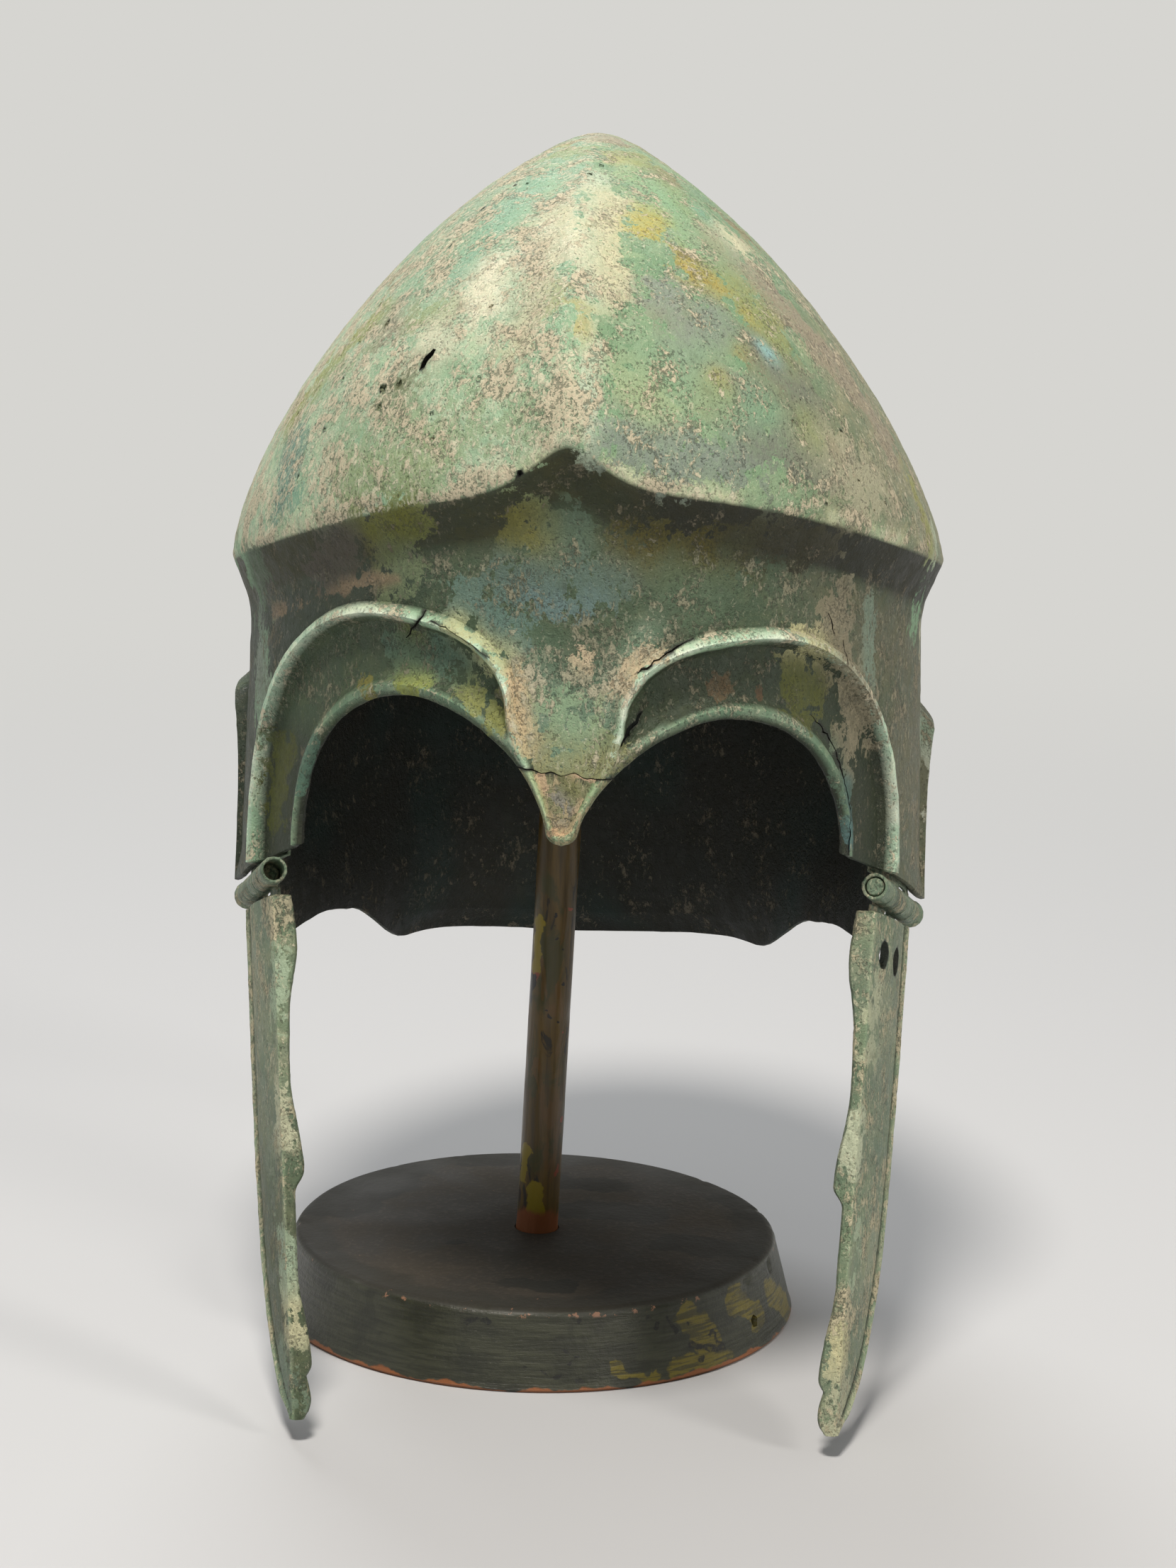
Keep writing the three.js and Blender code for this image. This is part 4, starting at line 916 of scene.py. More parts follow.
def bowl_sheet():
    """The whole bowl: rows down the crown, bevel and wall all round, and a band over the face."""
    columns = np.array(side_columns(1) + side_columns(-1)[1:-1][::-1], float)
    top, low_angle, low_height, edge_angle, edge_height, ear, banded = columns.T
    banded = banded > 0.5
    total = len(top)
    plan = outward_at(top)
    rows, depths, normals, levels = [], [], [], []
    for i in range(1, CROWN_ROWS + 1):
        share = (i / CROWN_ROWS) ** CROWN_ROW_POWER
        rows.append(crown_point(top, share))
        steep = (1 - share) * math.pi / 2
        normals.append(plan * math.cos(steep) + np.array((0, 0, math.sin(steep))))
        depths.append(mix(CROWN_THICKNESS, WALL_THICKNESS * SLANT_ALLOWANCE, share))
        levels.append(DOME + share)
    foot = foot_height(top)
    foot_ring = wall_point(top, foot) + plan * (keel(top) * CREASE_SHARE)[:, None]
    rim = rows[-1]
    for i in range(1, BEVEL_ROWS + 1):
        rows.append(mix(rim, foot_ring, (i / BEVEL_ROWS) ** BEVEL_ROW_POWER))
        normals.append(plan)
        depths.append(WALL_THICKNESS * SLANT_ALLOWANCE)
        levels.append(BEVEL + i / BEVEL_ROWS)
    length = np.linalg.norm(wall_point(low_angle, low_height) - foot_ring, axis=1)
    for i in range(1, WALL_ROWS + 1):
        share = 1 - (1 - i / WALL_ROWS) ** WALL_ROW_POWER
        angle = mix(top, low_angle, share)
        height = mix(foot, low_height, share)
        normal = outward_at(angle)
        crease = keel(angle) * CREASE_SHARE * np.where(banded, 1 - share, 0)
        nape = NAPE_EDGE_FLARE * smooth((np.abs(angle) - NAPE_STEP_ANGLE) / NAPE_FLARE_BLEND + 0.5)
        size = np.maximum(EAR_FLARE * ear, nape)
        flare = np.where(banded, 0, size * smooth(1 - length * (1 - share) / EDGE_FLARE_WIDTH))
        rows.append(wall_point(angle, height) + normal * (crease + flare)[:, None])
        normals.append(normal)
        depths.append(WALL_THICKNESS * SLANT_ALLOWANCE)
        levels.append(WALL + share)
    grid, normals, depths = np.array(rows), np.array(normals), np.array(depths)
    creases = (CROWN_ROWS - 1, CROWN_ROWS + BEVEL_ROWS - 1)
    near = sum(np.exp(-((np.arange(len(grid)) - c) / CREASE_ROWS) ** 2) for c in creases)
    for _ in range(CREASE_PASSES):
        eased = grid.copy()
        eased[1:-1] += near[1:-1, None, None] * CREASE_EASE * ((grid[:-2] + grid[2:]) / 2 - grid[1:-1])
        grid = eased
    outer = [np.array([(0, CROWN_SETBACK, CROWN_HEIGHT)]), *grid]
    skin = grid - normals * depths[:, None, None]
    kept = [*range(2, CROWN_ROWS, 3), CROWN_ROWS + 3, CROWN_ROWS + BEVEL_ROWS - 1]
    kept += [CROWN_ROWS + BEVEL_ROWS - 1 + i for i in range(2, WALL_ROWS + 1, 2)]
    inner = [np.array([(0, CROWN_SETBACK, CROWN_HEIGHT - CROWN_THICKNESS)])] + [skin[i] for i in kept]
    band_columns = np.flatnonzero(banded)
    place = {int(c): k for k, c in enumerate(band_columns)}
    width = np.linalg.norm(wall_point(low_angle, low_height) - wall_point(edge_angle, edge_height), axis=1)
    band_outer, band_inner, raised = [], [], []
    for i in range(1, BAND_ROWS + 1):
        share = i / BAND_ROWS
        angle = mix(low_angle, edge_angle, share)[band_columns]
        height = mix(low_height, edge_height, share)[band_columns]
        across = width[band_columns]
        normal = outward_at(angle)
        relief = arch_relief(across * share, across * (1 - share))
        base = wall_point(angle, height)
        band_outer.append(base + normal * relief[:, None])
        band_inner.append(base + normal * (relief * RELIEF_BEHIND - WALL_THICKNESS)[:, None])
        raised.append(relief)

    def numbered(blocks, bands):
        starts, count = [], 0
        for block in blocks + bands:
            starts.append(count)
            count += len(block)
        return starts

    def faces_of(starts, last):
        found = []
        for j in range(total):
            n = (j + 1) % total
            found.append((0, starts[1] + j, starts[1] + n))
            for i in range(1, last):
                found.append((starts[i] + j, starts[i + 1] + j, starts[i + 1] + n, starts[i] + n))
            if banded[j] and banded[n]:
                a, b = place[j], place[n]
                previous = (starts[last] + j, starts[last] + n)
                for i in range(BAND_ROWS):
                    here = (starts[last + 1 + i] + a, starts[last + 1 + i] + b)
                    found.append((previous[0], here[0], here[1], previous[1]))
                    previous = here
        return found

    outer_starts = numbered(outer, band_outer)
    inner_starts = numbered(inner, band_inner)
    behind = {}
    for j in range(total):
        behind[outer_starts[len(grid)] + j] = inner_starts[len(kept)] + j
    for i in range(BAND_ROWS):
        for k in range(len(band_columns)):
            behind[outer_starts[len(grid) + 1 + i] + k] = inner_starts[len(kept) + 1 + i] + k
    points_out = np.concatenate(outer + band_outer) + HELMET_AT
    points_in = np.concatenate(inner + band_inner) + HELMET_AT
    band = [BAND + (i + 1) / BAND_ROWS for i in range(BAND_ROWS) for _ in band_columns]
    level_out = np.concatenate(([DOME], np.repeat(levels, total), band))
    level_in = np.concatenate(([DOME], np.repeat([levels[i] for i in kept], total), band))
    relief_out, relief_in = (
        np.concatenate((np.zeros(len(level) - len(band)), *raised)) for level in (level_out, level_in))
    marks = {"level": (level_out, level_in), "relief": (relief_out, relief_in),
             "inside": (np.zeros(len(level_out)), np.ones(len(level_in)))}
    return shell("bowl_bronze", points_out, points_in, faces_of(outer_starts, len(grid)),
                 faces_of(inner_starts, len(kept)), behind, marks)


bowl = bowl_sheet()

# Cracks, holes and pits of the bowl
# Corrosion has split the sheet along the arches and across the nasal, eaten a long gash in the
# crown's right side and left pits all over. Each is cut into the metal.

CRACK_HEIGHT = NASAL_TIP_HEIGHT + 18.0
CRACK_GAP = 0.35
CRACK_STEP, CRACK_JOG = 1.3, 0.9
NASAL_CRACK_STEP, NASAL_CRACK_JOG = 1.1, 0.5
CRACK_END_SHARE, CRACK_TAPER = 0.15, 0.6
CRACK_LINE = (
    (-28, 1.6), (-12, 0.6), (-9.5, -0.4), (-7, 0.1), (-4.5, -0.9), (-1, 0), (2, -1.4), (5, -1.1), (20, -1.6),
)
TIP_BOTTOM = 73.5
NASAL_BLOCK = 15.0
PIT_LUMP, PIT_LUMP_RATE = 0.7, 1.3

# Each crack as its line in x and height, its width, and the two y between which its blade runs
CRACKS = (
    (((-39.5, 135.4), (-42.3, 130.6), (-44.6, 127.2)), 0.5, -112, -80),
    (((-38.1, 133.3), (-32.2, 131.0), (-26.8, 128.0), (-22.6, 125.3)), 0.3, -112, -90),
    (((13.0, 122.5), (19.1, 126.4), (23.4, 129.3), (28.1, 131.6)), 0.45, -114, -96),
    (((10.2, 104.6), (11.0, 106.4), (12.8, 109.2), (15.2, 112.8)), 0.9, -114, -96),
    (((58.5, 108.3), (63.2, 102.4), (65.6, 97.6), (69.0, 87.0), (70.3, 80.6), (69.9, 70.4)), 0.35, -96, -60),
    (((62.2, 134.0), (63.4, 131.0), (64.4, 127.5)), 0.35, -92, -60),
    (((66.4, 126.5), (66.9, 123.5), (67.8, 120.4)), 0.4, -92, -60),
)
# The gash's outline in x and height
GASH = ((-42.7, 193.9), (-41.5, 194.5), (-40.7, 196.1), (-39.4, 197.6), (-38.6, 199.2), (-39.4, 199.4),
        (-40.4, 198.3), (-41.6, 197.2), (-42.4, 195.6))
# Pits on the crown: x, y, height and radius
PITS = (
    (-52.4, -60.2, 202.9, 1.0), (-51.9, -80.4, 188.6, 1.2), (-47.8, -83.8, 190.2, 1.0),
    (-52.7, -83.4, 184.3, 0.8), (0.1, -108.5, 195.3, 1.1), (-2.0, -37.5, 240.2, 0.9),
    (-1.3, -66.9, 229.8, 1.0), (-18.0, -33.2, 237.1, 0.7), (-25.1, -82.8, 210.2, 0.8),
    (-16.4, -110.4, 172.3, 0.8),
)


def prism(name, outline, y_front, y_back):
    """A closed block from an outline in x and height, run along the helmet's length."""
    count = len(outline)
    points = [(x, y, z) for y in (y_front, y_back) for x, z in outline]
    faces = [tuple(range(count)), tuple(range(2 * count - 1, count - 1, -1))]
    for i in range(count):
        n = (i + 1) % count
        faces.append((i, i + count, n + count, n))
    piece = mesh_piece(name, np.array(points) + HELMET_AT, faces)
    work = bmesh.new()
    work.from_mesh(piece.data)
    bmesh.ops.triangulate(work, faces=work.faces)
    bmesh.ops.recalc_face_normals(work, faces=work.faces)
    work.to_mesh(piece.data)
    work.free()
    return piece


def jagged(line, step, size, seed):
    """A line of points with small jogs, such as a crack has."""
    run = [Vector(line[0])]
    for a, b in zip(line, line[1:]):
        a, b = Vector(a), Vector(b)
        count = max(1, round((b - a).length / step))
        across = Vector((-(b - a).y, (b - a).x)).normalized()
        for i in range(1, count + 1):
            jog = noise.noise(Vector((len(run) * 0.9, seed, 0))) * size if i < count else 0
            run.append(a.lerp(b, i / count) + across * jog)
    return run


def nasal_block(grow):
    """A block whose upper face follows the nasal's crack, and that holds all below it."""
    edge = jagged(CRACK_LINE, NASAL_CRACK_STEP, NASAL_CRACK_JOG, 4)
    outline = [(p.x, CRACK_HEIGHT + p.y + grow) for p in edge]
    outline += [(CRACK_LINE[-1][0], TIP_BOTTOM), (CRACK_LINE[0][0], TIP_BOTTOM)]
    return prism("nasal_block", outline, -RIM_FRONT - NASAL_BLOCK, -RIM_FRONT + NASAL_BLOCK)


def crack(line, width, y_front, y_back, seed):
    """A thin blade, widest in the middle, to cut a crack that is seen from the front."""
    run = jagged(line, CRACK_STEP, CRACK_JOG, seed)
    left, right = [], []
    for i, p in enumerate(run):
        before, after = run[max(0, i - 1)], run[min(len(run) - 1, i + 1)]
        across = Vector((-(after - before).y, (after - before).x)).normalized()
        half = width / 2 * mix(CRACK_END_SHARE, 1, math.sin(math.pi * (i + 0.5) / len(run)) ** CRACK_TAPER)
        left.append(tuple(p + across * half))
        right.append(tuple(p - across * half))
    return prism("crack", left + right[::-1], y_front, y_back)


def blobs(name, places, seed):
    """Lumpy closed blobs, as cutters for pits."""
    work = bmesh.new()
    for i, (x, y, z, radius) in enumerate(places):
        middle = Vector((x, y, z)) * MM
        made = bmesh.ops.create_icosphere(work, subdivisions=3, radius=radius * MM,
                                          matrix=Matrix.Translation(middle))
        shift = Vector((seed, 3.7 * i, 0))
        for v in made["verts"]:
            lump = noise.noise((v.co - middle) / (radius * MM) * PIT_LUMP_RATE + shift)
            v.co = middle + (v.co - middle) * (1 + PIT_LUMP * lump)
    mesh = bpy.data.meshes.new(name)
    work.to_mesh(mesh)
    work.free()
    return linked(name, mesh)


nasal = linked("nasal_end", bowl.data.copy())
cut(nasal, nasal_block(0.0), "INTERSECT")
cut(bowl, nasal_block(CRACK_GAP))
for seed, (line, width, y_front, y_back) in enumerate(CRACKS):
    cut(bowl, crack(line, width, y_front, y_back, seed))
cut(bowl, prism("gash", GASH, -100, -72))
cut(bowl, blobs("pits", [(*(np.array(p[:3]) + HELMET_AT), p[3]) for p in PITS], 5))


def tree_of(name, inputs):
    """A Geometry Nodes tree with its named inputs, and its two end nodes."""
    tree = bpy.data.node_groups.new(name, "GeometryNodeTree")
    tree.interface.new_socket("Geometry", in_out="INPUT", socket_type="NodeSocketGeometry")
    for label, value in inputs.items():
        kind = "NodeSocketMaterial" if label == "Material" else "NodeSocketFloat"
        socket = tree.interface.new_socket(label, in_out="INPUT", socket_type=kind)
        if value is not None:
            socket.default_value = value
    tree.interface.new_socket("Geometry", in_out="OUTPUT", socket_type="NodeSocketGeometry")
    return tree, tree.nodes.new("NodeGroupInput"), tree.nodes.new("NodeGroupOutput")


def delivered(tree, end, geometry, material=None):
    """Ends a tree with real geometry, in its material if it has one."""
    made = add_node(tree, "GeometryNodeRealizeInstances", {"Geometry": geometry}).outputs[0]
    if material is not None:
        made = add_node(tree, "GeometryNodeSetMaterial", {"Geometry": made, "Material": material}).outputs[0]
    tree.links.new(made, end.inputs[0])
    return tree


def stored(tree, label, kind="FLOAT"):
    """A value that a mesh carries at its points."""
    return add_node(tree, "GeometryNodeInputNamedAttribute", {"Name": label}, data_type=kind).outputs[0]


def corrosion():
    """Geometry Nodes tree: dents, a raised crust and eaten hollows over a bronze surface."""
    tree, start, end = tree_of("Corroded bronze", {
        "Dents": 0.3, "Dent size": 26.0, "Crust": 0.22, "Crust size": 4.5,
        "Hollows": 0.25, "Hollow size": 3.0, "Seed": 1.0, "Material": None,
    })
    wanted = start.outputs
    place = add_node(tree, "GeometryNodeInputPosition").outputs[0]
    normal = add_node(tree, "GeometryNodeInputNormal").outputs[0]

    def lumps(size, detail, shift):
        scale = maths(tree, "DIVIDE", 1 / MM, wanted[size])
        made = add_node(tree, "ShaderNodeTexNoise", {
            "Vector": place, "W": plus(tree, wanted["Seed"], shift), "Scale": scale, "Detail": detail,
            "Roughness": 0.55,
        }, noise_dimensions="4D")
        return made.outputs[0]

    dents = minus(tree, lumps("Dent size", 1.0, 0.0), 0.5)
    raised = ramp(tree, lumps("Crust size", 4.0, 11.0), 0.42, 0.72)
    eaten = ramp(tree, lumps("Hollow size", 3.0, 23.0), 0.6, 0.74)
    total = plus(tree, times(tree, dents, wanted["Dents"]), times(tree, raised, wanted["Crust"]))
    total = minus(tree, total, times(tree, eaten, wanted["Hollows"]))
    kept = add_node(tree, "GeometryNodeSetPosition", {
        "Geometry": wanted["Geometry"], "Offset": vector_maths(tree, "SCALE", normal, times(tree, total, MM)),
    }).outputs[0]
    for label, value in (("crust", raised), ("eaten", eaten)):
        kept = add_node(tree, "GeometryNodeStoreNamedAttribute", {
            "Geometry": kept, "Name": label, "Value": value,
        }, data_type="FLOAT", domain="POINT").outputs[0]
    return delivered(tree, end, kept, wanted["Material"])


def grow(piece, tree, **inputs):
    """Runs a Geometry Nodes tree on a piece and keeps the result as a plain mesh."""
    change = piece.modifiers.new("grow", "NODES")
    change.node_group = tree
    wanted = {label.replace("_", " ").lower(): value for label, value in inputs.items()}
    for item in tree.interface.items_tree:
        if item.in_out == "INPUT" and item.name.lower() in wanted:
            change[item.identifier] = wanted[item.name.lower()]
    settle(piece)


def pit_tree():
    """Geometry Nodes tree: small balls set in the bowl's dome, as cutters for its lesser pits."""
    tree, start, end = tree_of("Lesser pits", {
        "Spacing": 6.0, "Smallest": 0.3, "Largest": 0.8, "Cluster size": 36.0, "Seed": 1.0,
    })
    wanted = start.outputs
    spacing, smallest, largest = (times(tree, wanted[k], MM) for k in ("Spacing", "Smallest", "Largest"))
    level = stored(tree, "level")
    above_rim = maths(tree, "LESS_THAN", level, BEVEL - 0.04)
    on_dome = times(tree, above_rim, maths(tree, "GREATER_THAN", level, DOME))
    on_dome = times(tree, on_dome, maths(tree, "LESS_THAN", stored(tree, "inside"), 0.1))
    clusters = add_node(tree, "ShaderNodeTexNoise", {
        "Scale": maths(tree, "DIVIDE", 1 / MM, wanted["Cluster size"]), "Detail": 2.0,
    })
    spread = add_node(tree, "GeometryNodeDistributePointsOnFaces", {
        "Mesh": wanted["Geometry"], "Distance Min": spacing, "Density Max": 60000.0, "Seed": wanted["Seed"],
        "Density Factor": times(tree, ramp(tree, clusters.outputs[0], 0.5, 0.64, 0.02, 0.6), on_dome),
    }, distribute_method="POISSON")
    ball = add_node(tree, "GeometryNodeMeshIcoSphere", {"Radius": 1.0, "Subdivisions": 2})
    size = add_node(tree, "FunctionNodeRandomValue", {"Min": smallest, "Max": largest},
                    data_type="FLOAT_VECTOR")
    placed = add_node(tree, "GeometryNodeInstanceOnPoints", {
        "Points": spread.outputs["Points"], "Instance": ball.outputs[0],
        "Rotation": spread.outputs["Rotation"], "Scale": size.outputs[0],
    })
    return delivered(tree, end, placed.outputs[0])


lesser_pits = linked("lesser_pits", bowl.data.copy())
grow(lesser_pits, pit_tree())
cut(bowl, lesser_pits)


# The patina's deeper and paler washes of the ground colour, as linear factors
DEEP_WASH, PALE_WASH = (0.66, 0.82, 0.74, 1), (1.22, 1.18, 1.14, 1)


def ragged_share(at, wobble, line, radius):
    """How much of a patch each point gets, near a line of places on the metal."""
    line = [np.array(p, float) for p in line]
    near = np.full(len(at), np.inf)
    for a, b in zip(line, line[1:] or line):
        span = b - a
        t = np.clip(((at - a) @ span) / max(span @ span, 1e-9), 0, 1)
        near = np.minimum(near, np.linalg.norm(at - a - t[:, None] * span, axis=1))
    return np.exp(-((near / (radius * (1 + 0.5 * wobble))) ** 2))


def paint(piece, layers, patches):
    """Lays ground colours over a piece, each with its crust cover, and the given patches on them."""
    at = points_of(piece) - HELMET_AT
    ground = np.zeros((len(at), 4))
    for share, code, cover in layers:
        share = np.broadcast_to(share, len(at))[:, None]
        ground = mix(ground, np.array(tint(code)[:3] + [cover]), share)
    keep(piece, "ground", ground)
    wobble = roughen(at, 9, 71)
    patch = np.zeros((len(at), 4))
    outside = 1 - kept_marks(piece, "inside")
    for line, radius, code, strength in patches:
        weight = strength * outside * ragged_share(at, wobble, line, radius)
        total = weight + patch[:, 3] * (1 - weight)
        fresh = (weight / np.maximum(total, 1e-6))[:, None]
        patch[:, :3] = mix(patch[:, :3], np.array(tint(code)[:3]), fresh)
        patch[:, 3] = total
    keep(piece, "patch", patch)


def patina():
    """Shader node group: copper patina with washes, broken patches, pale crust flecks, and pits and dark
    specks that are partly painted shade.
    """
    tree = bpy.data.node_groups.new("Patina", "ShaderNodeTree")
    sockets = (
        ("INPUT", "Vector", ("Place",)),
        ("INPUT", "Color", ("Ground", "Patch", "Crust colour", "Second crust", "Hollow and shade colour")),
        ("INPUT", "Float", ("Cover", "Patch share", "Crust", "Eaten")),
        ("OUTPUT", "Color", ("Color",)), ("OUTPUT", "Float", ("Roughness", "Height")),
    )
    for way, kind, labels in sockets:
        for label in labels:
            tree.interface.new_socket(label, in_out=way, socket_type="NodeSocket" + kind)
    start, end = tree.nodes.new("NodeGroupInput"), tree.nodes.new("NodeGroupOutput")
    given = start.outputs
    place, ground = given["Place"], given["Ground"]
    streaks = add_node(tree, "ShaderNodeMapping", {"Vector": place, "Scale": (1, 1, 0.6)}).outputs[0]

    def off(value, share):
        return times(tree, minus(tree, value, 0.5), share)

    broad = speckle(tree, place, 26, 5, 0.62, 0.6)
    cluster = speckle(tree, place, 10, 4, 0.6, 0.4)
    medium = speckle(tree, place, 5.5, 6, 0.68, 0.5)
    flecks = speckle(tree, streaks, 1.7, 5, 0.7, 0.5)
    dust = speckle(tree, streaks, 1.1, 3, 0.65, 0.3)
    fine = speckle(tree, place, 0.8, 3, 0.65)
    grit = speckle(tree, place, 0.4, 2, 0.5)

    # Washes deeper and paler than the ground
    deep = mixed(tree, 1.0, ground, DEEP_WASH, "MULTIPLY")
    pale = mixed(tree, 1.0, ground, PALE_WASH, "MULTIPLY")
    colour = mixed(tree, times(tree, ramp(tree, broad, 0.45, 0.57), 0.8), ground, deep)
    colour = mixed(tree, times(tree, ramp(tree, medium, 0.51, 0.59), 0.7), colour, pale)
    colour = mixed(tree, times(tree, ramp(tree, medium, 0.47, 0.41), 0.6), colour, deep)

    # Patches with broken edges, worn through in flecks
    broken = plus(tree, off(cluster, 1.8), plus(tree, off(medium, 2.2), off(flecks, 1.6)))
    broken = plus(tree, given["Patch share"], broken)
    broken = times(tree, ramp(tree, broken, 0.34, 0.42), ramp(tree, given["Patch share"], 0.06, 0.2))
    worn_patch = mixed(tree, ramp(tree, flecks, 0.46, 0.54), given["Patch"], colour)
    worn_patch = mixed(tree, 0.72, worn_patch, given["Patch"])
    colour = mixed(tree, broken, colour, worn_patch)

    # Crust in two pale colours, heaped in clusters, with finer dust about it
    heaped = plus(tree, off(cluster, 0.8), times(tree, given["Crust"], 0.05))
    heaped = plus(tree, flecks, heaped)
    bare = minus(tree, 0.675, times(tree, given["Cover"], 0.27))
    bare = plus(tree, bare, times(tree, broken, 0.05))
    crusty = ramp(tree, minus(tree, heaped, bare), 0.0, 0.035)
    cream = mixed(tree, ramp(tree, cluster, 0.46, 0.56), given["Crust colour"], given["Second crust"])
    cream = mixed(tree, ramp(tree, fine, 0.54, 0.44, 0.0, 0.35), cream, ground)
    # Crust dims where the ground is dark, and so takes on the ground's painted shade where it has any.
    light = add_node(tree, "ShaderNodeRGBToBW", {0: ground}).outputs[0]
    cream = mixed(tree, ramp(tree, light, 0.03, 0.34, 0.26, 1.0), ground, cream)
    colour = mixed(tree, times(tree, crusty, 0.88), colour, cream)
    dusty = minus(tree, plus(tree, dust, off(cluster, 0.5)), bare)
    colour = mixed(tree, times(tree, ramp(tree, dusty, -0.03, 0.01), 0.42), colour, cream)

    # Dark hollows and pores, whose specks are partly painted shade beside the crust
    sunk = plus(tree, fine, plus(tree, off(cluster, -0.5), off(flecks, 0.6)))
    sunk = times(tree, ramp(tree, sunk, 0.41, 0.35), 0.5)
    dark = maths(tree, "MAXIMUM", times(tree, given["Eaten"], 0.45), sunk)
    colour = mixed(tree, dark, colour, given["Hollow and shade colour"])
    shade = plus(tree, 0.78, times(tree, grit, 0.44))
    gray = add_node(tree, "ShaderNodeCombineColor", {0: shade, 1: shade, 2: shade})
    colour = mixed(tree, 1.0, colour, gray.outputs[0], "MULTIPLY")

    rough = plus(tree, ramp(tree, medium, 0.35, 0.65, 0.46, 0.66), times(tree, crusty, 0.2))
    height = plus(tree, times(tree, flecks, 1.2), times(tree, crusty, 0.35))
    height = plus(tree, height, times(tree, fine, 0.5))
    height = minus(tree, height, times(tree, sunk, 0.5))
    height = plus(tree, height, times(tree, grit, 0.15))
    for label, value in (("Color", colour), ("Roughness", rough), ("Height", height)):
        tree.links.new(value, end.inputs[label])
    return tree


PATINA = patina()
CORROSION = corrosion()


def bronze_finish(name, crust, second_crust, hollow_and_shade):
    """A patinated bronze over the ground colours and patches that are painted on a piece."""
    def layers(tree):
        ground, patch, raised, eaten = (
            add_node(tree, "ShaderNodeAttribute", attribute_name=label).outputs
            for label in ("ground", "patch", "crust", "eaten"))
        sheet = add_node(tree, "ShaderNodeGroup", {
            "Place": object_place(tree), "Ground": ground["Color"], "Cover": ground["Alpha"],
            "Patch": patch["Color"], "Patch share": patch["Alpha"], "Crust": raised["Fac"],
            "Eaten": eaten["Fac"], "Crust colour": tint(crust), "Second crust": tint(second_crust),
            "Hollow and shade colour": tint(hollow_and_shade),
        }, node_tree=PATINA).outputs
        return sheet["Color"], sheet["Roughness"], sheet["Height"], 0.45

    made = finish(name, layers)
    made.node_tree.nodes["Principled BSDF"].inputs["Metallic"].default_value = 0.1
    return made


def weather(piece, finish_made, seed, **sizes):
    """Corrodes a piece, within the box that the solids fill, and coats it."""
    grow(piece, CORROSION, seed=float(seed), material=finish_made, **sizes)
    low, high = cad_bounds
    set_points(piece, np.clip(points_of(piece), np.array(low) / MM, np.array(high) / MM))
    coat(piece, finish_made)
    shade_smooth(piece, 40)


